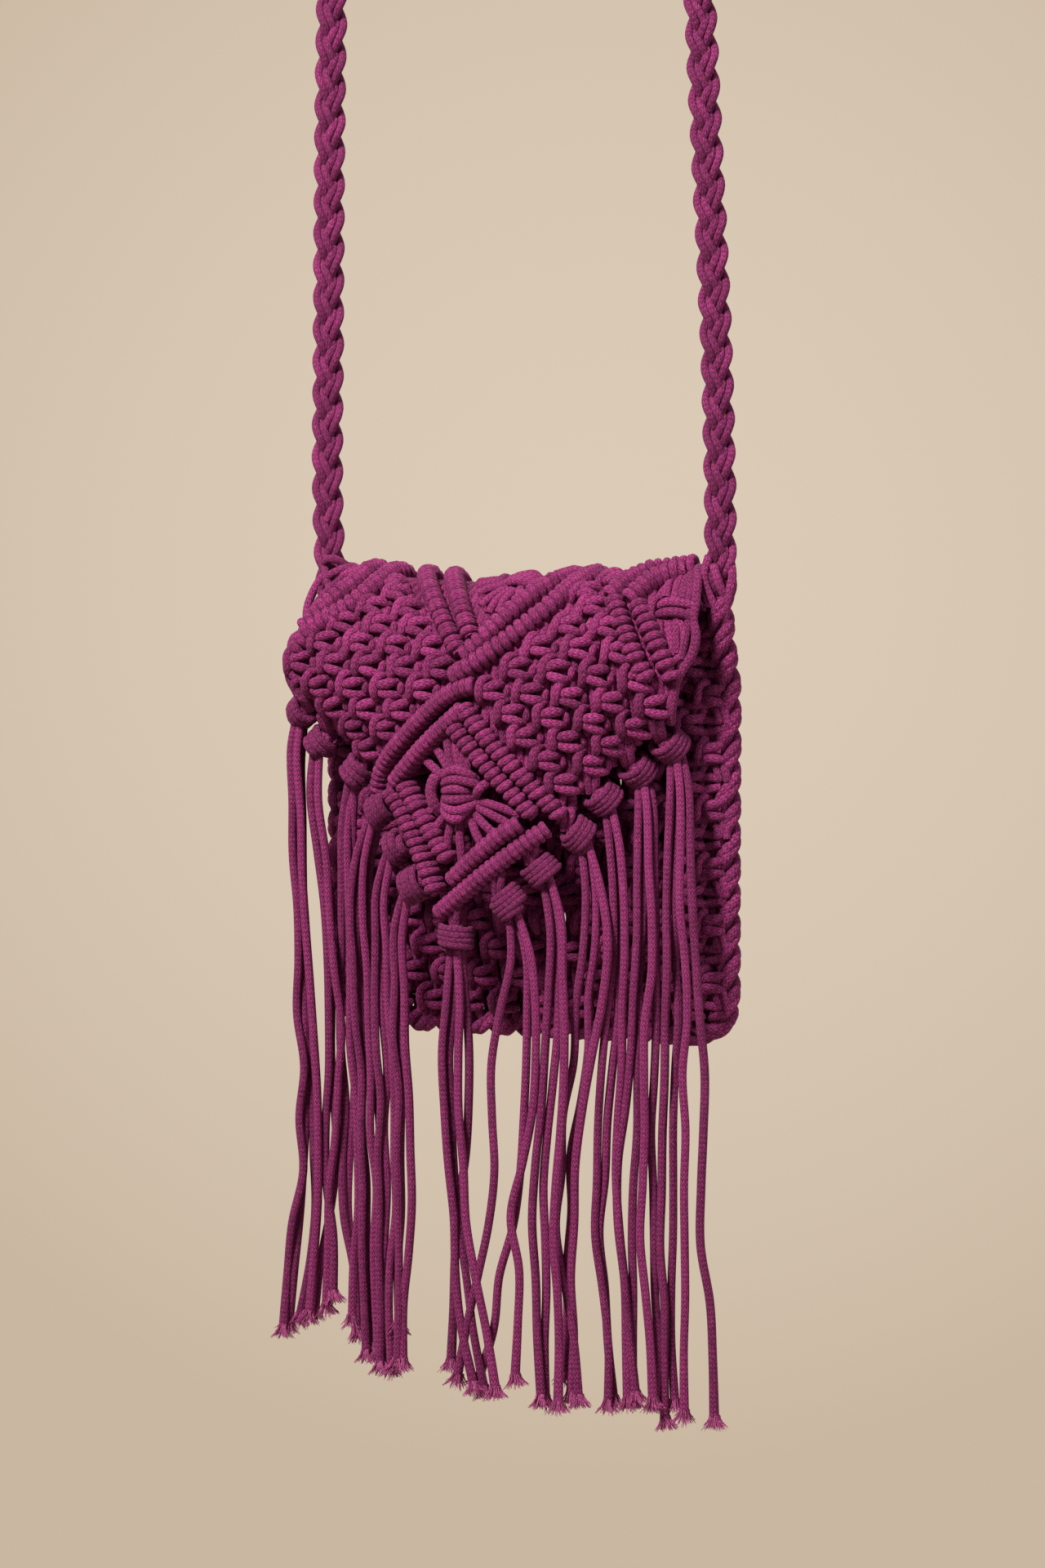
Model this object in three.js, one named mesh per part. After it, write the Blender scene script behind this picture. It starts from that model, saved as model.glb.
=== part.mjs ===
// A small knotted cotton bag with a fringed flap, hanging by its braided strap, in outer forms.
// Millimetres, +Z up, the bag's front faces -Y. The origin is the underside of the strap at the top of
// its loop, where the bag hangs. Inside, the bag is drawn with its fold line at z = 0 and the group
// then drops it below the hanging point.
import * as THREE from "three";
import { mergeVertices } from "three/addons/utils/BufferGeometryUtils.js";

// Knotted wall and the gap that neighbours keep
const WALL = 9;
const GAP = 0.35;

// Body: two bulged panels inside a lacing that runs down the sides and along the bottom
const BODY = { halfWidth: 97, bottomZ: -217, cornerRadius: 9.4, frontBulge: 18, backBulge: 16, fullest: 0.6 };
const MOUTH = { sideZ: -18, dip: 18 };
const PANEL_COLUMNS = 12;
const PANEL_ROWS = 9;
const CORNER_ROWS = 3;
const LACING = {
  radius: 6.3, sideX: 103.7, bendRadius: 16, tail: 3, topZ: -17, forwardY: -9, settleZ: -65,
  bendSteps: 4, sideSteps: 22, bottomSteps: 6,
};
// The side lacing leans forward to meet the strap: its lean at a share of the way down to settleZ
const LACING_LEAN = [
  { down: 0, lean: 1 },
  { down: 0.12, lean: 1 },
  { down: 0.4, lean: 0.8 },
  { down: 0.75, lean: 0.2 },
  { down: 1, lean: 0 },
];

// Flap: over the fold, forward, then down to a V hem
const FLAP = {
  centreX: -4, spread: 0.985, halfWidth: 100, apexY: -6, sag: 7, foldDrop: 50, rearDrop: 16, rearTail: 4,
  reachCentre: 48, reachLeft: 42, reachRight: 26, rows: 22, rowBias: 1.3,
};
const CURL = { depth: 13, width: 55, from: 70, to: 130, most: 40 };
// Side edges of the flap: distance from its mid line at a distance t down from the fold
const FLAP_EDGES = [
  { t: -30, left: -93, right: 100.5 },
  { t: 0, left: -92, right: 98 },
  { t: 17, left: -91, right: 99 },
  { t: 40, left: -92.5, right: 101 },
  { t: 66, left: -100, right: 98 },
  { t: 88, left: -101, right: 96 },
  { t: 220, left: -101, right: 96 },
];
// Hem from left to right. knot says that a wrap knot hangs there.
const HEM = [
  { s: -101, t: 79, knot: false },
  { s: -96, t: 87, knot: true },
  { s: -84.5, t: 97.5, knot: true },
  { s: -67.5, t: 110, knot: true },
  { s: -58.5, t: 120, knot: false },
  { s: -54, t: 131, knot: true },
  { s: -42, t: 148, knot: true },
  { s: -30.5, t: 166, knot: true },
  { s: -19, t: 184, knot: false },
  { s: -11, t: 186, knot: true },
  { s: -2, t: 183, knot: false },
  { s: 17, t: 167, knot: true },
  { s: 34, t: 152, knot: true },
  { s: 47, t: 136, knot: true },
  { s: 51, t: 126, knot: false },
  { s: 60.5, t: 114.5, knot: true },
  { s: 73, t: 101, knot: true },
  { s: 89, t: 89.5, knot: true },
  { s: 96, t: 83, knot: false },
];

// Ribs: ridges of half-hitches on the flap's outer face, as points across (s) and down (t) from the fold
const RIB = { width: 7.2, height: 4.2, lift: 0.6, step: 7 };
const RIB_SECTION = [
  { side: -0.5, up: 0 },
  { side: -0.38, up: 0.68 },
  { side: 0, up: 1 },
  { side: 0.38, up: 0.68 },
  { side: 0.5, up: 0 },
];
const RIBS = [
  { name: "left_upper", path: [[-90, 42], [-83, 34], [-77.5, 24], [-76.5, 10], [-76.5, -6]] },
  { name: "left_lower", path: [[-95, 59], [-87, 50], [-75, 40], [-67, 28], [-65, 12], [-65, -6]] },
  { name: "cross_up_left_outer", path: [[-50, -6], [-47, 4], [-41, 15], [-29, 31], [-19, 45], [-12, 54]] },
  { name: "cross_up_left_inner", path: [[-36, -6], [-33, 4], [-28, 12], [-16, 30], [-9, 41], [-4.5, 48]] },
  { name: "cross_up_right_inner", path: [[1, 56], [8, 48.5], [19, 32], [26, 18], [30, 6], [32, -6]] },
  { name: "cross_up_right_outer", path: [[-8, 70], [6, 61], [21, 49], [33, 33], [39, 20], [42, 6], [43.5, -6]] },
  { name: "cross_down_left_outer", path: [[1, 76], [-19, 84], [-35, 98], [-47, 111], [-53, 121]] },
  { name: "cross_down_left_inner", path: [[-8, 88], [-20, 98], [-31, 108], [-39, 116.5]] },
  { name: "cross_down_right_inner", path: [[-3.5, 98], [5, 108], [15, 119], [26.5, 131]] },
  { name: "cross_down_right_outer", path: [[1, 88], [12, 101], [22, 111], [37, 127]] },
  { name: "diamond_left_outer", path: [[-45, 129], [-34, 141], [-27, 155], [-20, 170]] },
  { name: "diamond_left_inner", path: [[-35, 124.5], [-25, 136], [-17, 148], [-12, 158]] },
  { name: "diamond_right_inner", path: [[25, 138], [13, 147], [0, 158], [-8, 165.5]] },
  { name: "diamond_right_outer", path: [[38, 138.5], [22, 151], [7, 163.5], [-9, 176]] },
  { name: "right_upper", path: [[63, 29], [69, 15], [77, 5.5], [87, 0], [94, -2]] },
  { name: "right_lower", path: [[73, 31], [77.5, 22], [84, 14.5], [94, 9]] },
  { name: "right_fall_inner", path: [[66.5, 37.5], [72, 47], [79, 57], [84, 65]] },
  { name: "right_fall_outer", path: [[77.5, 37.5], [83, 46], [89, 54.5], [93, 61]] },
];

const BERRIES = [
  { name: "upper", s: 9, t: 19, radius: 9.5, height: 6.5 },
  { name: "lower", s: -5, t: 124, radius: 12, height: 8 },
];
const BERRY_SIDES = 12;
// Their profile, as shares of the radius and height
const BERRY_PROFILE = [
  { out: 0, up: 0 },
  { out: 1, up: 0 },
  { out: 1, up: 0.3 },
  { out: 0.72, up: 0.8 },
  { out: 0, up: 1 },
];

// Wrap knots: barrels along the hem
const KNOT = { neck: 3.6, radius: 6.8, mouth: 5.2, length: 12.5, shoulder: 2.5, sides: 10 };

// Tassels from left to right: where each bundle hangs half way and at its end, and its size there
const TASSEL = {
  topRadius: 4.4, lead: 5, drop: 24, leastDrop: 20, bendAcross: 0.35, bendForward: 0.7, midZ: -210, spreadBy: 0.2,
  sides: 8, steps: 9, stepBias: 1.6,
};
const TASSELS = [
  { midX: -104.5, endX: -109, y: -40, endZ: -380, width: 9.5, depth: 11 },
  { midX: -94.5, endX: -98, y: -37, endZ: -366, width: 9, depth: 11 },
  { midX: -84.5, endX: -87, y: -34, endZ: -379, width: 8.4, depth: 11 },
  { midX: -68.5, endX: -75, y: -42, endZ: -389, width: 9, depth: 11 },
  { midX: -57.5, endX: -63.5, y: -47, endZ: -391, width: 9.5, depth: 11 },
  { midX: -45, endX: -52, y: -50, endZ: -389, width: 9.5, depth: 11 },
  { midX: -12, endX: -12, y: -55, endZ: -396, width: 18, depth: 11 },
  { midX: 17, endX: 12, y: -53, endZ: -396, width: 14, depth: 11 },
  { midX: 34, endX: 31, y: -50, endZ: -402, width: 14, depth: 11 },
  { midX: 51, endX: 48, y: -43, endZ: -402, width: 12.5, depth: 11 },
  { midX: 66, endX: 66, y: -38, endZ: -403, width: 11.5, depth: 11 },
  { midX: 80.5, endX: 80.5, y: -37, endZ: -402, width: 12, depth: 11 },
  { midX: 101, endX: 103, y: -31, endZ: -409, width: 20, depth: 11 },
];

// Strap: one braided loop. The legs follow the table and a half circle joins them.
const STRAP = {
  width: 15, depth: 10.5, y: -9, footZ: -16.4, archCentreX: -6.5, archRadius: 92.5, archSteps: 16, steps: 56,
};
const STRAP_LENGTH = 1165;
// Sideways place of each leg at a share of its height
const STRAP_LEGS = [
  { share: 0, left: -103.8, right: 103.6 },
  { share: 0.12, left: -105.6, right: 103.1 },
  { share: 0.28, left: -105, right: 100.8 },
  { share: 0.5, left: -104, right: 95.5 },
  { share: 0.65, left: -102.7, right: 92 },
  { share: 0.85, left: -100, right: 87 },
];
const LEG_LENGTH = (STRAP_LENGTH - Math.PI * STRAP.archRadius) / 2;
const ARCH_Z = STRAP.footZ + LEG_LENGTH;
const TUBE_SIDES = 8;
// Distance of a tube's flat sides from its middle, as a share of its radius
const TUBE_FLAT = Math.cos(Math.PI / TUBE_SIDES);

const COTTON = { color: "#8f2c69", roughness: 0.9, metalness: 0 };

const lerp = THREE.MathUtils.lerp;
const clamp = THREE.MathUtils.clamp;
const smooth = (value) => THREE.MathUtils.smoothstep(value, 0, 1);

/** Value of one column of a table at a key, straight between its rows. */
function lookUp(rows, key, column, at) {
  const next = Math.max(1, rows.findIndex((row) => row[key] >= at));
  const [low, high] = [rows[next - 1], rows[next]];
  return lerp(low[column], high[column], clamp((at - low[key]) / (high[key] - low[key]), 0, 1));
}

/** Merge the vertices of a closed shape and turn its faces outwards. */
function closed(geometry) {
  geometry.deleteAttribute("normal");
  geometry.deleteAttribute("uv");
  const merged = mergeVertices(geometry, 1e-4);
  const corner = [new THREE.Vector3(), new THREE.Vector3(), new THREE.Vector3()];
  const index = Array.from(merged.index.array);
  const kept = [];
  let volume = 0;
  for (let i = 0; i < index.length; i += 3) {
    const face = index.slice(i, i + 3);
    if (new Set(face).size < 3) continue;
    face.forEach((vertex, k) => corner[k].fromBufferAttribute(merged.attributes.position, vertex));
    volume += corner[0].dot(corner[1].clone().cross(corner[2]));
    kept.push(face);
  }
  merged.setIndex(kept.flatMap(([a, b, c]) => (volume > 0 ? [a, b, c] : [a, c, b])));
  merged.computeVertexNormals();
  return merged;
}

/** Closed shape from points and faces. */
function fromFaces(points, faces) {
  const geometry = new THREE.BufferGeometry();
  geometry.setAttribute("position", new THREE.Float32BufferAttribute(points.flatMap((p) => p.toArray()), 3));
  geometry.setIndex(faces.flat());
  return closed(geometry);
}

/** Closed loft through rings of equal count, with a flat fan at each end. */
function loft(rings) {
  const count = rings[0].length;
  const faces = [];
  for (let i = 0; i + 1 < rings.length; i++) {
    for (let k = 0; k < count; k++) {
      const [a, b] = [i * count + k, i * count + ((k + 1) % count)];
      faces.push([a, b, b + count], [a, b + count, a + count]);
    }
  }
  const last = (rings.length - 1) * count;
  for (let k = 1; k + 1 < count; k++) {
    faces.push([0, k + 1, k], [last, last + k, last + k + 1]);
  }
  return fromFaces(rings.flat(), faces);
}

/** Closed wall between two grids of points that face each other. */
function wall(outer, inner) {
  const [rows, columns] = [outer.length, outer[0].length];
  const shift = rows * columns;
  const at = (row, column) => row * columns + column;
  const faces = [];
  const points = [...outer.flat(), ...inner.flat()];
  const quad = (a, b, c, d) => {
    const short = points[a].distanceTo(points[c]) <= points[b].distanceTo(points[d]);
    if (short) faces.push([a, b, c], [a, c, d]);
    else faces.push([a, b, d], [b, c, d]);
  };
  for (let r = 0; r + 1 < rows; r++) {
    for (let c = 0; c + 1 < columns; c++) {
      const [a, b, d, e] = [at(r, c), at(r, c + 1), at(r + 1, c + 1), at(r + 1, c)];
      quad(a, b, d, e);
      quad(shift + e, shift + d, shift + b, shift + a);
    }
  }
  const rim = [];
  for (let c = 0; c < columns; c++) rim.push(at(0, c));
  for (let r = 1; r < rows; r++) rim.push(at(r, columns - 1));
  for (let c = columns - 2; c >= 0; c--) rim.push(at(rows - 1, c));
  for (let r = rows - 2; r > 0; r--) rim.push(at(r, 0));
  rim.forEach((a, k) => {
    const b = rim[(k + 1) % rim.length];
    quad(a, a + shift, b + shift, b);
  });
  return fromFaces(points, faces);
}

/** Tube of a round or flattened section along a curve. */
function tube(curve, depth, width, steps) {
  const shape = new THREE.Shape();
  for (let k = 0; k < TUBE_SIDES; k++) {
    const angle = (2 * Math.PI * (k + 0.5)) / TUBE_SIDES;
    const point = [(depth / 2) * Math.cos(angle), (width / 2) * Math.sin(angle)];
    if (k === 0) shape.moveTo(...point);
    else shape.lineTo(...point);
  }
  shape.closePath();
  return closed(new THREE.ExtrudeGeometry(shape, { steps, extrudePath: curve, bevelEnabled: false }));
}

// Body

/** How full the bag is at a height, from 0 to 1. */
function fullness(z) {
  const down = clamp(z / BODY.bottomZ, 0, 1);
  if (down < BODY.fullest) return lerp(BODY.fullest, 1, smooth(down / BODY.fullest));
  return Math.cos((Math.PI / 2) * ((down - BODY.fullest) / (1 - BODY.fullest)));
}

/** Middle of a panel's wall. side is -1 for the front and 1 for the back. */
function panelY(side, x, z) {
  const across = clamp(x / BODY.halfWidth, -1, 1);
  const bulge = (side < 0 ? BODY.frontBulge : BODY.backBulge) * fullness(z) * (1 - across * across);
  return side * (WALL / 2 + GAP + bulge);
}

/** Half width of a panel at a height, with its rounded lower corners. */
function panelHalfWidth(z) {
  const below = Math.max(0, BODY.bottomZ + BODY.cornerRadius - z);
  const inset = BODY.cornerRadius - Math.sqrt(Math.max(0, BODY.cornerRadius ** 2 - below ** 2));
  return BODY.halfWidth - inset;
}

function panel(side, topZ) {
  const cornerZ = BODY.bottomZ + BODY.cornerRadius;
  const heights = [];
  for (let r = 0; r <= PANEL_ROWS; r++) heights.push({ share: r / PANEL_ROWS, z: cornerZ });
  for (let r = 1; r <= CORNER_ROWS; r++) {
    const angle = (Math.PI / 2) * (r / CORNER_ROWS);
    heights.push({ share: 1, z: cornerZ - BODY.cornerRadius * Math.sin(angle) });
  }
  const grids = [1, -1].map((face) => heights.map(({ share, z: low }) => {
    const points = [];
    for (let c = 0; c <= PANEL_COLUMNS; c++) {
      const across = (2 * c) / PANEL_COLUMNS - 1;
      const x = across * panelHalfWidth(low);
      const z = lerp(topZ(x), low, share);
      points.push(new THREE.Vector3(x, panelY(side, x, z) + (side * face * WALL) / 2, z));
    }
    return points;
  }));
  return wall(grids[0], grids[1]);
}

const mouthZ = (x) => MOUTH.sideZ - MOUTH.dip * (1 - (x / BODY.halfWidth) ** 2);

// Flap

/** Height of the fold line above the mouth, at a distance s from the flap's mid line. */
function foldZ(s) {
  const across = clamp(s / FLAP.halfWidth, -1, 1);
  return -WALL / 2 - FLAP.sag * (1 - across * across);
}

const flapX = (s) => FLAP.centreX + FLAP.spread * s;

/** How far the fold reaches back to the top of the back panel. */
const rearReach = (s) => panelY(1, flapX(s), foldZ(s) - FLAP.rearDrop - FLAP.rearTail) - FLAP.apexY;

const quarter = (reach, drop) => (Math.PI / 2) * Math.sqrt((reach ** 2 + drop ** 2) / 2);

const rearLength = (s) => quarter(rearReach(s), FLAP.rearDrop) + FLAP.rearTail;

/** Middle of the flap's wall: s across from its mid line, t along the surface from the fold, down in front. */
function flapPoint(s, t) {
  const across = clamp(s / FLAP.halfWidth, -1.1, 1.1);
  const sideReach = s < 0 ? FLAP.reachLeft : FLAP.reachRight;
  const reach = t < 0 ? rearReach(s) : FLAP.reachCentre - (FLAP.reachCentre - sideReach) * across ** 2;
  const drop = t < 0 ? FLAP.rearDrop : FLAP.foldDrop;
  const arc = quarter(reach, drop);
  const angle = (Math.PI / 2) * Math.min(Math.abs(t) / arc, 1);
  const curl = CURL.depth * smooth((t - CURL.from) / (CURL.to - CURL.from)) * (s / CURL.width) ** 2;
  const y = FLAP.apexY + Math.sign(t) * -reach * Math.sin(angle) + Math.min(curl, CURL.most);
  const z = foldZ(s) - drop * (1 - Math.cos(angle)) - Math.max(Math.abs(t) - arc, 0);
  return new THREE.Vector3(flapX(s), y, z);
}

/** Outward normal of the flap. */
function flapNormal(s, t) {
  const step = 0.5;
  const across = flapPoint(s + step, t).sub(flapPoint(s - step, t));
  const along = flapPoint(s, t + step).sub(flapPoint(s, t - step));
  return along.cross(across).normalize();
}

const flapFace = (s, t, height) => flapPoint(s, t).addScaledVector(flapNormal(s, t), height);

function flapPanel() {
  const edge = (t, column) => lookUp(FLAP_EDGES, "t", column, t);
  const shareOf = (s, t) => (s - edge(t, "left")) / (edge(t, "right") - edge(t, "left"));
  const columns = HEM.map(({ s, t }) => ({ hemT: t, share: shareOf(s, t) }));
  const grids = [WALL / 2, -WALL / 2].map((height) => {
    const rows = [];
    for (let r = 0; r <= FLAP.rows; r++) {
      const down = (r / FLAP.rows) ** FLAP.rowBias;
      rows.push(columns.map(({ hemT, share }) => {
        const topS = lerp(edge(0, "left"), edge(0, "right"), share);
        const t = lerp(-rearLength(topS), hemT, down);
        return flapFace(lerp(edge(t, "left"), edge(t, "right"), share), t, height);
      }));
    }
    return rows;
  });
  return wall(grids[0], grids[1]);
}

/** Half-round bar that lies on the flap along a path of (s, t) points. */
function rib(path) {
  const curve = new THREE.CatmullRomCurve3(path.map(([s, t]) => new THREE.Vector3(s, t, 0)));
  const steps = Math.ceil(curve.getLength() / RIB.step);
  const rings = [];
  for (let i = 0; i <= steps; i++) {
    const { x: s, y: t } = curve.getPointAt(i / steps);
    const way = curve.getTangentAt(i / steps);
    const normal = flapNormal(s, t);
    const along = flapPoint(s + way.x, t + way.y).sub(flapPoint(s - way.x, t - way.y)).normalize();
    const across = along.clone().cross(normal).normalize();
    rings.push(RIB_SECTION.map(({ side, up }) => flapFace(s, t, WALL / 2 + RIB.lift + up * RIB.height)
      .addScaledVector(across, side * RIB.width)));
  }
  return loft(rings);
}

/** Place a shape that was turned about its own Y axis with that axis along a direction. */
function stand(geometry, foot, direction) {
  const turn = new THREE.Quaternion().setFromUnitVectors(new THREE.Vector3(0, 1, 0), direction);
  return closed(geometry.applyQuaternion(turn).translate(foot.x, foot.y, foot.z));
}

function berry({ s, t, radius, height }) {
  const profile = BERRY_PROFILE.map(({ out, up }) => new THREE.Vector2(out * radius, up * height));
  const geometry = new THREE.LatheGeometry(profile, BERRY_SIDES);
  return stand(geometry, flapFace(s, t, WALL / 2 + GAP), flapNormal(s, t));
}

/** Foot and direction of the wrap knot at a point of the hem: it points away from the hem. */
function knotSeat(at) {
  const [before, here, after] = [HEM[at - 1], HEM[at], HEM[at + 1]];
  const along = new THREE.Vector2(after.s - before.s, after.t - before.t).normalize();
  const away = new THREE.Vector2(-along.y, along.x);
  const step = flapPoint(here.s + away.x, here.t + away.y).sub(flapPoint(here.s, here.t));
  const direction = step.normalize();
  return { foot: flapPoint(here.s, here.t).addScaledVector(direction, 2 * GAP), direction };
}

function wrapKnot({ foot, direction }) {
  const { neck, radius, mouth, length, shoulder } = KNOT;
  const profile = [[0, 0], [neck, 0], [radius, shoulder], [radius, length - shoulder], [mouth, length], [0, length]];
  const geometry = new THREE.LatheGeometry(profile.map(([x, y]) => new THREE.Vector2(x, y)), KNOT.sides);
  return stand(geometry, foot, direction);
}

/** Outer form of a bundle of cords that leaves its wrap knot, turns down and hangs. */
function tassel(seat, { midX, endX, y, endZ, width, depth }) {
  const top = seat.foot.clone().addScaledVector(seat.direction, KNOT.length + GAP);
  const turn = top.clone().addScaledVector(seat.direction, TASSEL.lead);
  const bend = new THREE.Vector3(
    lerp(turn.x, midX, TASSEL.bendAcross), lerp(turn.y, y, TASSEL.bendForward), turn.z - TASSEL.drop,
  );
  const middle = new THREE.Vector3(midX, y, Math.min(TASSEL.midZ, bend.z - TASSEL.leastDrop));
  const curve = new THREE.CatmullRomCurve3([top, turn, bend, middle, new THREE.Vector3(endX, y, endZ)]);
  const rings = [];
  for (let i = 0; i <= TASSEL.steps; i++) {
    const share = (i / TASSEL.steps) ** TASSEL.stepBias;
    const centre = curve.getPointAt(share);
    const down = i === 0 ? seat.direction : curve.getTangentAt(share);
    const side = new THREE.Vector3(1, 0, 0).addScaledVector(down, -down.x).normalize();
    const front = down.clone().cross(side);
    const spread = smooth(share / TASSEL.spreadBy);
    const halfWidth = lerp(TASSEL.topRadius, width / 2, spread);
    const halfDepth = lerp(TASSEL.topRadius, depth / 2, spread);
    const ring = [];
    for (let k = 0; k < TASSEL.sides; k++) {
      const angle = (2 * Math.PI * (k + 0.5)) / TASSEL.sides;
      ring.push(centre.clone().addScaledVector(side, halfWidth * Math.cos(angle))
        .addScaledVector(front, halfDepth * Math.sin(angle)));
    }
    rings.push(ring);
  }
  return loft(rings);
}

// Lacing and strap

/** Side lacing: down the side, then round the lower corner. side is -1 for the left. */
function sideLacing(side) {
  const { sideX, bendRadius, bendSteps, topZ, forwardY, settleZ } = LACING;
  const cornerX = sideX - bendRadius;
  const cornerZ = BODY.bottomZ + BODY.cornerRadius;
  const points = LACING_LEAN.map(({ down, lean }) => [sideX, forwardY * lean, lerp(topZ, settleZ, down)]);
  points.push([sideX, 0, lerp(settleZ, cornerZ, 1 / 3)], [sideX, 0, lerp(settleZ, cornerZ, 2 / 3)]);
  for (let k = 0; k <= bendSteps; k++) {
    const angle = (Math.PI / 2) * (k / bendSteps);
    points.push([cornerX + bendRadius * Math.cos(angle), 0, cornerZ - bendRadius * Math.sin(angle)]);
  }
  points.push([cornerX - LACING.tail, 0, cornerZ - bendRadius]);
  const curve = new THREE.CatmullRomCurve3(points.map(([x, y, z]) => new THREE.Vector3(side * x, y, z)));
  return tube(curve, 2 * LACING.radius, 2 * LACING.radius, LACING.sideSteps);
}

function bottomLacing() {
  const halfLength = LACING.sideX - LACING.bendRadius - LACING.tail - 1.5 * GAP;
  const z = BODY.bottomZ + BODY.cornerRadius - LACING.bendRadius;
  const curve = new THREE.LineCurve3(new THREE.Vector3(-halfLength, 0, z), new THREE.Vector3(halfLength, 0, z));
  return tube(curve, 2 * LACING.radius, 2 * LACING.radius, LACING.bottomSteps);
}

function strap() {
  const { archCentreX, archRadius, archSteps, footZ, y } = STRAP;
  const points = STRAP_LEGS.map(({ share, left }) => [left, footZ + share * LEG_LENGTH]);
  for (let k = 0; k <= archSteps; k++) {
    const angle = Math.PI * (1 - k / archSteps);
    points.push([archCentreX + archRadius * Math.cos(angle), ARCH_Z + archRadius * Math.sin(angle)]);
  }
  points.push(...STRAP_LEGS.map(({ share, right }) => [right, footZ + share * LEG_LENGTH]).reverse());
  const curve = new THREE.CatmullRomCurve3(points.map(([x, z]) => new THREE.Vector3(x, y, z)));
  return tube(curve, STRAP.depth, STRAP.width, STRAP.steps);
}

const bag = new THREE.Group();
const hangZ = ARCH_Z + STRAP.archRadius - (TUBE_FLAT * STRAP.width) / 2;
bag.position.set(-STRAP.archCentreX, -STRAP.y, -hangZ);

function add(name, geometry) {
  const mesh = new THREE.Mesh(geometry, new THREE.MeshStandardMaterial(COTTON));
  mesh.name = name;
  bag.add(mesh);
}

const number = (at) => String(at + 1).padStart(2, "0");

add("back_panel", panel(1, (x) => foldZ((x - FLAP.centreX) / FLAP.spread) - FLAP.rearDrop - FLAP.rearTail - 2 * GAP));
add("front_panel", panel(-1, mouthZ));
add("flap_panel", flapPanel());
add("side_seam_left", sideLacing(-1));
add("side_seam_right", sideLacing(1));
add("bottom_seam", bottomLacing());
add("strap", strap());
RIBS.forEach(({ name, path }) => add(`rib_${name}`, rib(path)));
BERRIES.forEach((row) => add(`berry_knot_${row.name}`, berry(row)));
const seats = HEM.map((row, at) => (row.knot ? knotSeat(at) : null)).filter(Boolean);
seats.forEach((seat, at) => add(`wrap_knot_${number(at)}`, wrapKnot(seat)));
TASSELS.forEach((row, at) => add(`tassel_${number(at)}`, tassel(seats[at], row)));

const object = new THREE.Group();
object.add(bag);
export default object;
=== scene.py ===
"""A fringed bag of knotted cotton cord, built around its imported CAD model.

Every cord is drawn in the bag's own millimetres, with the fold line of the flap at z = 0, and is then
moved to the row frame in metres. Cords are swept by one Geometry Nodes tree, cut ends by another.
"""

import logging
import math
from collections.abc import Callable, Sequence
from dataclasses import dataclass, field
from enum import Enum

import bpy
import numpy as np
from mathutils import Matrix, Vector

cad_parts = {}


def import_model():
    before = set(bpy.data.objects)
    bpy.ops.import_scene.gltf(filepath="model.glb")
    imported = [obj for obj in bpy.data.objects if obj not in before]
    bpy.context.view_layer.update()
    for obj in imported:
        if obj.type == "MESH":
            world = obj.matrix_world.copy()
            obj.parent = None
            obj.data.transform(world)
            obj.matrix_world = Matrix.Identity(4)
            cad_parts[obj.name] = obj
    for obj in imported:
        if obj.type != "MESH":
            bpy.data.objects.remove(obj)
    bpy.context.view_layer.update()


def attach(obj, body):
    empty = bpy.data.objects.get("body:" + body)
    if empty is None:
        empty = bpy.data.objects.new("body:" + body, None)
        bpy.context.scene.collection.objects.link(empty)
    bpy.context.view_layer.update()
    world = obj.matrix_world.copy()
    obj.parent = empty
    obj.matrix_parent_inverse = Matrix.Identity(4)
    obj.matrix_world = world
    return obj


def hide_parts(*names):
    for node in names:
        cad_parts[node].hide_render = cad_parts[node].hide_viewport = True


LOG = logging.getLogger("fringed_bag")
SEED = 3101
MM = 0.001
# Where the bag's own zero lies in the row frame, in millimetres
HANG = np.array([6.5, 9.0, -506.372])

Point = tuple[float, float]
# A point of a strand: across, down and out from the middle of its knot, and the cord's radius there
Stroke = tuple[tuple[float, float, float, float], ...]


def to_row(points: np.ndarray) -> np.ndarray:
    """Move points from the bag's millimetres to the row frame in metres."""
    return (np.asarray(points, float) + HANG) * MM


def linear(code: str) -> tuple[float, float, float, float]:
    """Turn an sRGB hex colour into linear values.

    Args:
        code: six hex digits after a hash sign.

    Returns:
        Linear red, green, blue and an alpha of one.
    """
    parts = [int(code[i : i + 2], 16) / 255 for i in (1, 3, 5)]
    low = [c / 12.92 if c <= 0.04045 else ((c + 0.055) / 1.055) ** 2.4 for c in parts]
    return (low[0], low[1], low[2], 1.0)


def add_node(
    tree: bpy.types.NodeTree, kind: str, links: dict[int | str, object] | None = None, **settings: object,
) -> bpy.types.Node:
    """Add a node with its settings and links.

    Args:
        tree: the tree that gets the node.
        kind: the node's type name.
        links: for an input by name or number, the value it holds or the socket that feeds it.
        settings: the node's own properties.

    Returns:
        The new node.
    """
    made = tree.nodes.new(kind)
    for name, value in settings.items():
        setattr(made, name, value)
    for key, value in (links or {}).items():
        socket = made.inputs[key]
        if isinstance(value, bpy.types.NodeSocket):
            tree.links.new(value, socket)
        else:
            socket.default_value = value
    return made


def math_node(tree: bpy.types.NodeTree, operation: str, *values: object) -> bpy.types.NodeSocket:
    """Add one step of arithmetic.

    Args:
        tree: the tree that gets it.
        operation: its name.
        values: the numbers or sockets that it takes, in order.

    Returns:
        The socket with its result.
    """
    return add_node(tree, "ShaderNodeMath", dict(enumerate(values)), operation=operation).outputs[0]


def vector_node(
    tree: bpy.types.NodeTree, operation: str, first: object, second: object,
) -> bpy.types.NodeSocket:
    """Add one step of arithmetic on a vector.

    Args:
        tree: the tree that gets it.
        operation: its name.
        first: the vector.
        second: the other vector, or the number that a vector is scaled by.

    Returns:
        The socket with its result.
    """
    other = "Scale" if operation == "SCALE" else 1
    return add_node(tree, "ShaderNodeVectorMath", {0: first, other: second}, operation=operation).outputs[0]


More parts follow.
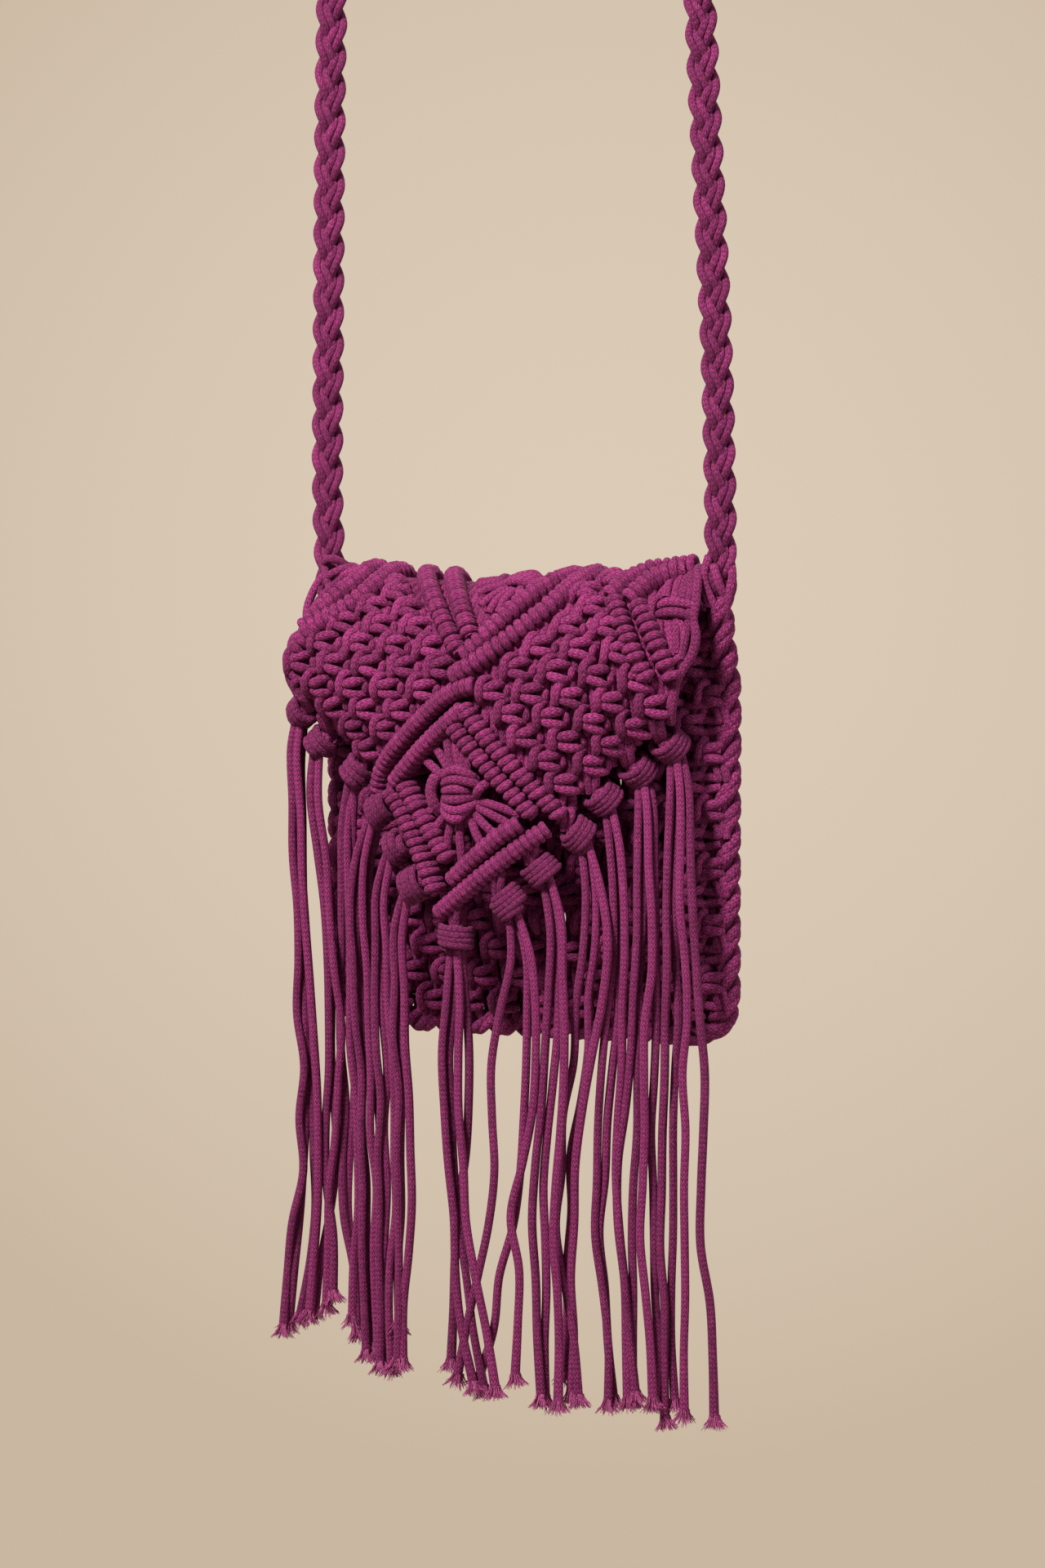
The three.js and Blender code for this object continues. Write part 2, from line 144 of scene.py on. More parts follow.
def range_node(
    tree: bpy.types.NodeTree, value: object, low: float, high: float, start: float = 0.0, end: float = 1.0,
) -> bpy.types.NodeSocket:
    """Spread a value from one range over another and hold it inside.

    Args:
        tree: the tree that gets the node.
        value: the value.
        low: its value at the start.
        high: its value at the end.
        start: the result at the start.
        end: the result at the end.

    Returns:
        The socket with the result.
    """
    return add_node(tree, "ShaderNodeMapRange", {0: value, 1: low, 2: high, 3: start, 4: end}).outputs[0]


def mix_node(
    tree: bpy.types.NodeTree, share: object, first: object, second: object,
) -> bpy.types.NodeSocket:
    """Mix two colours.

    Args:
        tree: the tree that gets the node.
        share: share of the second colour.
        first: the first colour.
        second: the second colour.

    Returns:
        The socket with the mixed colour.
    """
    return add_node(tree, "ShaderNodeMix", {0: share, 6: first, 7: second}, data_type="RGBA").outputs[2]


def noise_node(
    tree: bpy.types.NodeTree, place: object, scale: float, detail: float, roughness: float = 0.5,
) -> bpy.types.NodeSocket:
    """Add noise.

    Args:
        tree: the tree that gets the node.
        place: the socket with the place.
        scale: lumps a metre.
        detail: how many finer layers it has.
        roughness: how strong the finer layers are.

    Returns:
        The socket with the noise.
    """
    links = {"Vector": place, "Scale": scale, "Detail": detail, "Roughness": roughness}
    return add_node(tree, "ShaderNodeTexNoise", links).outputs["Fac"]


def read_node(tree: bpy.types.NodeTree, name: str, kind: str = "FLOAT") -> bpy.types.NodeSocket:
    """Read a named attribute of the geometry."""
    return add_node(tree, "GeometryNodeInputNamedAttribute", {"Name": name}, data_type=kind).outputs[0]


def store_node(
    tree: bpy.types.NodeTree, shape: object, name: str, value: object, kind: str = "FLOAT",
) -> bpy.types.NodeSocket:
    """Store a value on the points of a shape.

    Args:
        tree: the tree that gets the node.
        shape: the shape.
        name: name of the attribute.
        value: its value.
        kind: its data type.

    Returns:
        The socket with the shape.
    """
    links = {0: shape, "Name": name, "Value": value}
    made = add_node(tree, "GeometryNodeStoreNamedAttribute", links, data_type=kind, domain="POINT")
    return made.outputs[0]


def new_material(name: str) -> tuple[bpy.types.Material, bpy.types.NodeTree]:
    """Start a material.

    Args:
        name: its name.

    Returns:
        The material and its empty node tree.
    """
    made = bpy.data.materials.new(name)
    made.use_nodes = True
    made.node_tree.nodes.clear()
    return made, made.node_tree


def smooth_step(value: np.ndarray) -> np.ndarray:
    """Ease from 0 to 1."""
    clipped = np.clip(value, 0, 1)
    return clipped * clipped * (3 - 2 * clipped)


def unit(vector: np.ndarray) -> np.ndarray:
    """Scale vectors to a length of one."""
    return vector / np.linalg.norm(vector, axis=-1, keepdims=True)


def distances(line: np.ndarray) -> np.ndarray:
    """Measure how far along a line each of its points lies."""
    return np.concatenate([[0], np.cumsum(np.linalg.norm(np.diff(line, axis=0), axis=1))])


def point_at(line: np.ndarray, run: np.ndarray, place: float) -> np.ndarray:
    """Find the point of a level line at a distance along it, from the distances of its points."""
    return np.array([np.interp(place, run, line[:, 0]), np.interp(place, run, line[:, 1])])


def spline(points: Sequence[Sequence[float]], step: float) -> np.ndarray:
    """Run a smooth line through points and divide it evenly.

    Args:
        points: the points to pass.
        step: distance between the points of the result.

    Returns:
        Points at equal distances along a Catmull-Rom line.
    """
    knots = np.asarray(points, float)
    padded = np.vstack([2 * knots[0] - knots[1], knots, 2 * knots[-1] - knots[-2]])
    share = np.linspace(0, 1, 16, endpoint=False)[:, None]
    spans = []
    for i in range(1, len(padded) - 2):
        a, b, c, d = padded[i - 1 : i + 3]
        bend = (2 * a - 5 * b + 4 * c - d) * share**2 + (3 * b - a - 3 * c + d) * share**3
        spans.append(0.5 * (2 * b + (c - a) * share + bend))
    dense = np.vstack([*spans, knots[-1:]])
    run = distances(dense)
    count = max(2, round(run[-1] / step) + 1)
    places = np.linspace(0, run[-1], count)
    return np.column_stack([np.interp(places, run, dense[:, k]) for k in range(dense.shape[1])])


def inside(outline: Sequence[Point], across: float, down: float) -> bool:
    """Say whether a point lies inside a closed outline.

    Args:
        outline: its corners in order, across and down.
        across: place of the point across.
        down: place of the point down.

    Returns:
        True for a point inside.
    """
    hit = False
    for (ax, ay), (bx, by) in zip(outline, [*outline[1:], outline[0]]):
        if (ay > down) != (by > down) and across < ax + (bx - ax) * (down - ay) / (by - ay):
            hit = not hit
    return hit


class Plum(Enum):
    """The cord's colours, from the painted shade of its stitch valleys through its dye to the loose fibre
    tips.
    """

    VALLEY_SHADE = "#581A45"
    FIBRE = "#8A3168"
    BODY = "#A4317C"
    TIP = "#C2609E"
    BLOOM = "#D98CBB"


class Backdrop(Enum):
    """Colours of the plain studio round the bag, with a painted pool of light on the surround behind it."""

    LAMP = "#FFF4EA"
    GLOW = "#F3E6D6"
    FLOOR = "#E4D6C4"
    # Painted pool of light on the surround: palest straight behind the bag, painted shade round it
    BEHIND_PAINTED_LIGHT = "#E1D1BD"
    AROUND_PAINTED_SHADE = "#C9B7A1"


@dataclass(frozen=True)
class KnittedCotton:
    """Knitted cotton cord, spun and tube-knitted, dyed plum.

    It is matt, its stitches stand in columns of small Vs along the cord with painted shade in their grooves,
    and loose fibres give it a soft paler bloom where it turns away from the eye.
    """

    name: str
    columns: int = 8
    # The real stitch is about 1.3 mm long; it is drawn coarser so that it still shows in a picture
    stitch_mm: float = 2.3
    # How far a stitch climbs from the edge of its column to the middle, in stitches
    climb: float = 0.8
    depth_mm: float = 0.6
    roughness: float = 0.88
    bloom: float = 0.12
    uneven: float = 0.16
    # How light the piece is drawn, around one. The fringe's lower value is painted shade, for the weaker
    # light on the lower cords; the lacing's higher value draws it a little lighter
    tone_and_painted_shade: float = 1.0

    def make(self) -> bpy.types.Material:
        """Build the material.

        Returns:
            A material that reads the cord's own attributes turn, along and shade.
        """
        made, tree = new_material(self.name)
        turn = add_node(tree, "ShaderNodeAttribute", attribute_name="turn").outputs["Vector"]
        along = add_node(tree, "ShaderNodeAttribute", attribute_name="along").outputs["Fac"]
        shade = add_node(tree, "ShaderNodeAttribute", attribute_name="shade").outputs["Fac"]
        split = add_node(tree, "ShaderNodeSeparateXYZ", {0: turn})
        angle = math_node(tree, "ARCTAN2", split.outputs[1], split.outputs[0])
        around = math_node(tree, "MULTIPLY", angle, self.columns / (2 * math.pi))
        side = math_node(tree, "PINGPONG", around, 0.5)
        run = math_node(tree, "MULTIPLY", along, 2 * math.pi / (self.stitch_mm * MM))
        climb = math_node(tree, "MULTIPLY_ADD", side, 4 * math.pi * self.climb, run)
        # The stitch mask is low in the grooves between stitch rows and between columns: it colours them
        # darker as painted shade and also shapes the bump
        rows = range_node(tree, math_node(tree, "SINE", climb), -0.8, 0.5)
        gutter = range_node(tree, side, 0.0, 0.14, 0.15)
        stitch = math_node(tree, "MULTIPLY", rows, gutter)
        place = add_node(tree, "ShaderNodeTexCoord").outputs["Object"]
        # Loose fibres of about 0.5 mm, and the uneven take of the dye over about 6 mm
        fluff = noise_node(tree, place, 1900.0, 4.0, 0.7)
        dye = noise_node(tree, place, 160.0, 3.0, 0.6)
        # Painted shade: the stitch grooves take the darker valley colour
        shaded_valleys = mix_node(tree, stitch, linear(Plum.VALLEY_SHADE.value), linear(Plum.BODY.value))
        tips = range_node(tree, fluff, 0.5, 0.78)
        body = mix_node(tree, tips, shaded_valleys, linear(Plum.TIP.value))
        # Flecks of about 1.2 mm where the spun yarns lie thicker or thinner
        fleck = noise_node(tree, place, 850.0, 2.0)
        mixed = math_node(tree, "MULTIPLY_ADD", fleck, 2.2, math_node(tree, "ADD", dye, shade))
        swing = 1.9 * self.uneven
        # A value below one darkens the whole piece as painted shade, as on the fringe
        value = range_node(tree, mixed, 1.6, 2.6, self.tone_and_painted_shade - swing, self.tone_and_painted_shade + swing)
        dyed = add_node(tree, "ShaderNodeHueSaturation", {"Color": body, "Value": value})
        relief = math_node(tree, "MULTIPLY_ADD", fluff, 1.4, stitch)
        bump = add_node(
            tree, "ShaderNodeBump",
            {"Height": relief, "Strength": 0.75, "Distance": self.depth_mm * MM},
        )
        surface = add_node(
            tree, "ShaderNodeBsdfPrincipled",
            {
                "Base Color": dyed.outputs[0], "Roughness": self.roughness, "Normal": bump.outputs[0],
                "Specular IOR Level": 0.22, "Sheen Weight": self.bloom, "Sheen Roughness": 0.45,
                "Sheen Tint": linear(Plum.BLOOM.value),
            },
        )
        add_node(tree, "ShaderNodeOutputMaterial", {"Surface": surface.outputs[0]})
        return made


@dataclass(frozen=True)
class LooseFibre:
    """Unspun cotton fibre of a cut end. It is finer and paler than the cord, and has no stitches."""

    name: str = "frayed_cotton_fibre"

    def make(self) -> bpy.types.Material:
        """Build the material.

        Returns:
            A matt material with uneven dye from end to end.
        """
        made, tree = new_material(self.name)
        place = add_node(tree, "ShaderNodeTexCoord").outputs["Object"]
        reach = range_node(tree, noise_node(tree, place, 700.0, 2.0), 0.35, 0.7)
        colour = mix_node(tree, reach, linear(Plum.FIBRE.value), linear(Plum.TIP.value))
        surface = add_node(
            tree, "ShaderNodeBsdfPrincipled",
            {
                "Base Color": colour, "Roughness": 0.9, "Specular IOR Level": 0.2,
                "Sheen Weight": 0.5, "Sheen Tint": linear(Plum.BLOOM.value),
            },
        )
        add_node(tree, "ShaderNodeOutputMaterial", {"Surface": surface.outputs[0]})
        return made


class Trees:
    """The two Geometry Nodes trees that every piece shares."""

    def __init__(self) -> None:
        """Build both trees."""
        self.sweep = self._sweep()
        self.fray = self._fray()

    @staticmethod
    def _new(name: str, inputs: Sequence[tuple[str, str]]) -> tuple[bpy.types.NodeTree, bpy.types.Node]:
        """Start a tree with its named inputs.

        Args:
            name: the tree's name.
            inputs: name and socket type of each input after the geometry.

        Returns:
            The tree and its group input node.
        """
        tree = bpy.data.node_groups.new(name, "GeometryNodeTree")
        tree.interface.new_socket("Geometry", in_out="INPUT", socket_type="NodeSocketGeometry")
        for label, kind in inputs:
            tree.interface.new_socket(label, in_out="INPUT", socket_type=kind)
        tree.interface.new_socket("Geometry", in_out="OUTPUT", socket_type="NodeSocketGeometry")
        return tree, add_node(tree, "NodeGroupInput")

    @staticmethod
    def _end(
        tree: bpy.types.NodeTree, start: bpy.types.Node, line: object, ring: object, girth: object,
    ) -> None:
        """Finish a tree: sweep its lines, shade them smooth, make them real and dress them.

        Args:
            tree: the tree to finish.
            start: its group input node.
            line: socket with the lines.
            ring: socket with the round to sweep.
            girth: socket with the size of the round along a line.
        """
        tube = add_node(
            tree, "GeometryNodeCurveToMesh",
            {"Curve": line, "Profile Curve": ring, "Scale": girth, "Fill Caps": True},
        )
        smooth = add_node(tree, "GeometryNodeSetShadeSmooth", {0: tube.outputs[0]})
        real = add_node(tree, "GeometryNodeRealizeInstances", {0: smooth.outputs[0]})
        dressed = add_node(
            tree, "GeometryNodeSetMaterial", {0: real.outputs[0], "Material": start.outputs["Finish"]},
        )
        add_node(tree, "NodeGroupOutput", {0: dressed.outputs[0]})

    def _sweep(self) -> bpy.types.NodeTree:
        """Sweep a round cord along every line, as thick as the line's attribute thick says.

        Returns:
            The tree.
        """
        tree, start = self._new(
            "cord_sweep",
            [("Spacing", "NodeSocketFloat"), ("Sides", "NodeSocketInt"), ("Finish", "NodeSocketMaterial")],
        )
        lines = add_node(tree, "GeometryNodeMeshToCurve", {0: start.outputs["Geometry"]})
        rounded = add_node(
            tree, "GeometryNodeCurveSplineType", {0: lines.outputs[0]}, spline_type="CATMULL_ROM",
        )
        fine = add_node(tree, "GeometryNodeSetSplineResolution", {0: rounded.outputs[0], "Resolution": 8})
        even = add_node(
            tree, "GeometryNodeResampleCurve",
            {0: fine.outputs[0], "Length": start.outputs["Spacing"]}, mode="LENGTH",
        )
        run = add_node(tree, "GeometryNodeSplineParameter").outputs["Length"]
        measured = store_node(tree, even.outputs[0], "along", run)
        ring = add_node(
            tree, "GeometryNodeCurvePrimitiveCircle", {"Resolution": start.outputs["Sides"], "Radius": 1.0},
        )
        place = add_node(tree, "GeometryNodeInputPosition").outputs[0]
        turned = store_node(tree, ring.outputs[0], "turn", place, "FLOAT_VECTOR")
        self._end(tree, start, measured, turned, read_node(tree, "thick"))
        return tree

    def _fray(self) -> bpy.types.NodeTree:
        """Let a brush of fibres flare out of every point, along its attribute aim.

        Returns:
            The tree.
        """
        tree, start = self._new(
            "frayed_end",
            [
                ("Fibres", "NodeSocketInt"),
                ("Length", "NodeSocketFloat"),
                ("Cord Radius", "NodeSocketFloat"),
                ("Flare", "NodeSocketFloat"),
                ("Fibre Radius", "NodeSocketFloat"),
                ("Finish", "NodeSocketMaterial"),
            ],
        )
        points = add_node(tree, "GeometryNodeMeshToPoints", {0: start.outputs["Geometry"]})
        many = add_node(
            tree, "GeometryNodeDuplicateElements",
            {0: points.outputs[0], "Amount": start.outputs["Fibres"]}, domain="POINT",
        )
        spread = add_node(
            tree, "FunctionNodeRandomValue",
            {"Min": (-1.0, -1.0, -1.0), "Max": (1.0, 1.0, 1.0), "Seed": SEED}, data_type="FLOAT_VECTOR",
        ).outputs[0]
        reach = add_node(
            tree, "FunctionNodeRandomValue", {2: 0.62, 3: 1.12, "Seed": SEED + 1}, data_type="FLOAT",
        ).outputs[1]
        # Each fibre starts somewhere on the cord's cut face and leans the way it lies from the middle
        aim = read_node(tree, "aim", "FLOAT_VECTOR")
        side = vector_node(tree, "SUBTRACT", spread, vector_node(tree, "PROJECT", spread, aim))
        shift = vector_node(tree, "SCALE", side, start.outputs["Cord Radius"])
        placed = add_node(tree, "GeometryNodeSetPosition", {0: many.outputs[0], "Offset": shift})
        leaning = store_node(tree, placed.outputs[0], "lean", side, "FLOAT_VECTOR")
        long = store_node(tree, leaning, "reach", reach)
        stub = add_node(
            tree, "GeometryNodeCurvePrimitiveLine", {"Start": (0.0, 0.0, 0.0), "End": (0.0, 0.0, 1e-6)},
        )
        line = add_node(tree, "GeometryNodeResampleCurve", {0: stub.outputs[0], "Count": 4}, mode="COUNT")
        factor = add_node(tree, "GeometryNodeSplineParameter").outputs["Factor"]
        marked = store_node(tree, line.outputs[0], "share", factor)
        hairs = add_node(tree, "GeometryNodeInstanceOnPoints", {"Points": long, "Instance": marked})
        real = add_node(tree, "GeometryNodeRealizeInstances", {0: hairs.outputs[0]})
        # It runs out along the aim and bends away with the square of its length
        share = read_node(tree, "share")
        out = math_node(tree, "MULTIPLY", share, read_node(tree, "reach"))
        down = math_node(tree, "MULTIPLY", out, start.outputs["Length"])
        square = math_node(tree, "MULTIPLY", share, out)
        wide = math_node(tree, "MULTIPLY", square, start.outputs["Flare"])
        apart = vector_node(tree, "SCALE", read_node(tree, "lean", "FLOAT_VECTOR"), wide)
        moved = vector_node(tree, "ADD", vector_node(tree, "SCALE", aim, down), apart)
        grown = add_node(tree, "GeometryNodeSetPosition", {0: real.outputs[0], "Offset": moved})
        taper = range_node(tree, share, 0.0, 1.0, 1.0, 0.6)
        girth = math_node(tree, "MULTIPLY", taper, start.outputs["Fibre Radius"])
        ring = add_node(tree, "GeometryNodeCurvePrimitiveCircle", {"Resolution": 3, "Radius": 1.0})
        self._end(tree, start, grown.outputs[0], ring.outputs[0], girth)
        return tree


def run_tree(
    name: str, mesh: bpy.types.Mesh, tree: bpy.types.NodeTree, values: dict[str, object],
) -> bpy.types.Object:
    """Run a Geometry Nodes tree on a mesh and keep the result as a plain mesh.

    Args:
        name: name of the new object.
        mesh: points or lines that the tree starts from.
        tree: the tree to run.
        values: value of each named input.

    Returns:
        An object with a plain mesh and no modifier.
    """
    made = bpy.data.objects.new(name, mesh)
    bpy.context.scene.collection.objects.link(made)
    modifier = made.modifiers.new("cord", "NODES")
    modifier.node_group = tree
    for item in tree.interface.items_tree:
        if item.item_type == "SOCKET" and item.in_out == "INPUT" and item.name in values:
            modifier[item.identifier] = values[item.name]
    graph = bpy.context.evaluated_depsgraph_get()
    plain = bpy.data.meshes.new_from_object(
        made.evaluated_get(graph), preserve_all_data_layers=True, depsgraph=graph,
    )
    made.modifiers.clear()
    made.data = plain
    plain.name = name
    bpy.data.meshes.remove(mesh)
    return made


@dataclass
class Cordage:
    """The strands of one piece, gathered and then swept in one go."""

    name: str
    # Corners of a cord's round, and the distance from one round to the next in millimetres
    sides: int = 8
    spacing: float = 1.6
    lines: list[np.ndarray] = field(default_factory=list)
    radii: list[np.ndarray] = field(default_factory=list)
    cuts: list[tuple[np.ndarray, np.ndarray]] = field(default_factory=list)

    def add(self, points: np.ndarray, radius: float | np.ndarray) -> None:
        """Add one strand.

        Args:
            points: its control points in the bag's millimetres.
            radius: the cord's radius, one for all or one a point.
        """
        line = np.asarray(points, float)
        self.lines.append(line)
        self.radii.append(np.broadcast_to(np.asarray(radius, float), (len(line),)).copy())

    def cut(self, end: np.ndarray, aim: np.ndarray) -> None:
        """Mark a cut end whose fibres flare out."""
        self.cuts.append((np.asarray(end, float), unit(np.asarray(aim, float))))

    def sweep(self, trees: Trees, finish: bpy.types.Material) -> bpy.types.Object:
        """Sweep the strands.

        Args:
            trees: the shared node trees.
            finish: the cord's material.

        Returns:
            The swept object.
        """
        points = to_row(np.vstack(self.lines))
        starts = np.cumsum([0] + [len(line) for line in self.lines[:-1]])
        edges = [(a + i, a + i + 1) for a, line in zip(starts, self.lines) for i in range(len(line) - 1)]
        mesh = bpy.data.meshes.new(self.name + "_lines")
        mesh.from_pydata(points.tolist(), [(int(a), int(b)) for a, b in edges], [])
        thick = mesh.attributes.new("thick", "FLOAT", "POINT")
        thick.data.foreach_set("value", (np.concatenate(self.radii) * MM).astype(np.float32))
        draw = np.random.default_rng(SEED + len(self.lines))
        shades = np.concatenate([np.full(len(line), draw.uniform(0, 1)) for line in self.lines])
        shade = mesh.attributes.new("shade", "FLOAT", "POINT")
        shade.data.foreach_set("value", shades.astype(np.float32))
        values = {"Spacing": self.spacing * MM, "Sides": self.sides, "Finish": finish}
        return run_tree(self.name, mesh, trees.sweep, values)

    def fray(self, trees: Trees, finish: bpy.types.Material, end: "CutEnd") -> bpy.types.Object:
        """Grow the fibres of the cut ends.

        Args:
            trees: the shared node trees.
            finish: the fibre's material.
            end: sizes of a cut end.

        Returns:
            The fibres as one object.
        """
        mesh = bpy.data.meshes.new(self.name + "_ends")
        mesh.from_pydata([tuple(to_row(place)) for place, _ in self.cuts], [], [])
        aim = mesh.attributes.new("aim", "FLOAT_VECTOR", "POINT")
        aim.data.foreach_set("vector", np.concatenate([way for _, way in self.cuts]).astype(np.float32))
        values = {
            "Fibres": end.fibres, "Length": end.length * MM, "Cord Radius": end.radius * MM,
            "Flare": end.flare * MM, "Fibre Radius": end.fibre_radius * MM, "Finish": finish,
        }
        return run_tree(self.name + "_frayed", mesh, trees.fray, values)


@dataclass(frozen=True)
class CutEnd:
    """Sizes of a frayed end, in millimetres."""

    fibres: int = 110
    length: float = 6.4
    radius: float = 2.1
    flare: float = 3.3
    fibre_radius: float = 0.24


@dataclass(frozen=True)
class Body:
    """Form of the two bulged panels, in millimetres."""

    half_width: float = 97.0
    bottom_z: float = -217.0
    wall: float = 9.0
    gap: float = 0.35
    front_bulge: float = 18.0
    back_bulge: float = 16.0
    fullest: float = 0.6

    def middle_y(self, side: int, x: np.ndarray, z: np.ndarray) -> np.ndarray:
        """Find the middle of a panel's wall.

        Args:
            side: -1 for the front and 1 for the back.
            x: sideways places.
            z: heights.

        Returns:
            The depths.
        """
        down = np.clip(np.asarray(z, float) / self.bottom_z, 0, 1)
        upper = self.fullest + (1 - self.fullest) * smooth_step(down / self.fullest)
        lower = np.cos(math.pi / 2 * np.clip((down - self.fullest) / (1 - self.fullest), 0, 1))
        full = np.where(down < self.fullest, upper, lower)
        across = np.clip(np.asarray(x, float) / self.half_width, -1, 1)
        bulge = (self.front_bulge if side < 0 else self.back_bulge) * full * (1 - across**2)
        return side * (self.wall / 2 + self.gap + bulge)


@dataclass(frozen=True)
class PanelSurface:
    """One panel as a surface: across is x, down is -z, out is away from the inside."""

    body: Body
    side: int

    def at(self, across: np.ndarray, down: np.ndarray, out: np.ndarray) -> np.ndarray:
        """Find points on or over the panel.

        Args:
            across: places across.
            down: places down.
            out: distances out of the middle of the wall.

        Returns:
            The points.
        """
        x, z = np.asarray(across, float), -np.asarray(down, float)
        step = 0.5
        near = [
            self.body.middle_y(self.side, x + dx, z + dz)
            for dx, dz in ((step, 0), (-step, 0), (0, step), (0, -step))
        ]
        slope_x, slope_z = (near[0] - near[1]) / (2 * step), (near[2] - near[3]) / (2 * step)
        normal = unit(self.side * np.stack([-slope_x, np.ones_like(x), -slope_z], axis=-1))
        middle = np.stack([x, self.body.middle_y(self.side, x, z), z], axis=-1)
        return middle + normal * np.asarray(out, float)[..., None]


@dataclass(frozen=True)
class FlapSurface:
    """The flap as a surface: across is s from its mid line, down is t from the fold, negative at the rear."""

    body: Body
    centre_x: float = -4.0
    spread: float = 0.985
    half_width: float = 100.0
    apex_y: float = -6.0
    sag: float = 7.0
    # The fold is a quarter of an ellipse to the front and one to the rear
    fold_drop: float = 50.0
    rear_drop: float = 16.0
    rear_tail: float = 4.0
    reach_centre: float = 48.0
    reach_left: float = 42.0
    reach_right: float = 26.0
    # Towards its sides the lower part of the flap curls back to the bag
    curl_depth: float = 13.0
    curl_width: float = 55.0
    curl_from: float = 70.0
    curl_run: float = 60.0
    curl_most: float = 40.0

    def middle(self, s: np.ndarray, t: np.ndarray) -> np.ndarray:
        """Find points in the middle of the flap's wall.

        Args:
            s: places across, from the mid line.
            t: places down, from the fold.

        Returns:
            The points.
        """
        s, t = np.broadcast_arrays(np.asarray(s, float), np.asarray(t, float))
        across = np.clip(s / self.half_width, -1.1, 1.1)
        fold = -self.body.wall / 2 - self.sag * (1 - np.clip(across, -1, 1) ** 2)
        x = self.centre_x + self.spread * s
        rear = self.body.middle_y(1, x, fold - self.rear_drop - self.rear_tail) - self.apex_y
        side = np.where(s < 0, self.reach_left, self.reach_right)
        reach = np.where(t < 0, rear, self.reach_centre - (self.reach_centre - side) * across**2)
        drop = np.where(t < 0, self.rear_drop, self.fold_drop)
        arc = math.pi / 2 * np.sqrt((reach**2 + drop**2) / 2)
        angle = math.pi / 2 * np.minimum(np.abs(t) / arc, 1)
        eased = smooth_step((t - self.curl_from) / self.curl_run)
        curl = self.curl_depth * eased * (s / self.curl_width) ** 2
        y = self.apex_y - np.sign(t) * reach * np.sin(angle) + np.minimum(curl, self.curl_most)
        z = fold - drop * (1 - np.cos(angle)) - np.maximum(np.abs(t) - arc, 0)
        return np.stack([x, y, z], axis=-1)

    def normal(self, s: np.ndarray, t: np.ndarray) -> np.ndarray:
        """Find the outward direction.

        Args:
            s: places across, from the mid line.
            t: places down, from the fold.

        Returns:
            A direction of length one for each place.
        """
        step = 1.0
        along = self.middle(s, np.asarray(t) + step) - self.middle(s, np.asarray(t) - step)
        across = self.middle(np.asarray(s) + step, t) - self.middle(np.asarray(s) - step, t)
        return unit(np.cross(along, across))

    def at(self, across: np.ndarray, down: np.ndarray, out: np.ndarray) -> np.ndarray:
        """Find points on or over the flap."""
        return self.middle(across, down) + self.normal(across, down) * np.asarray(out, float)[..., None]


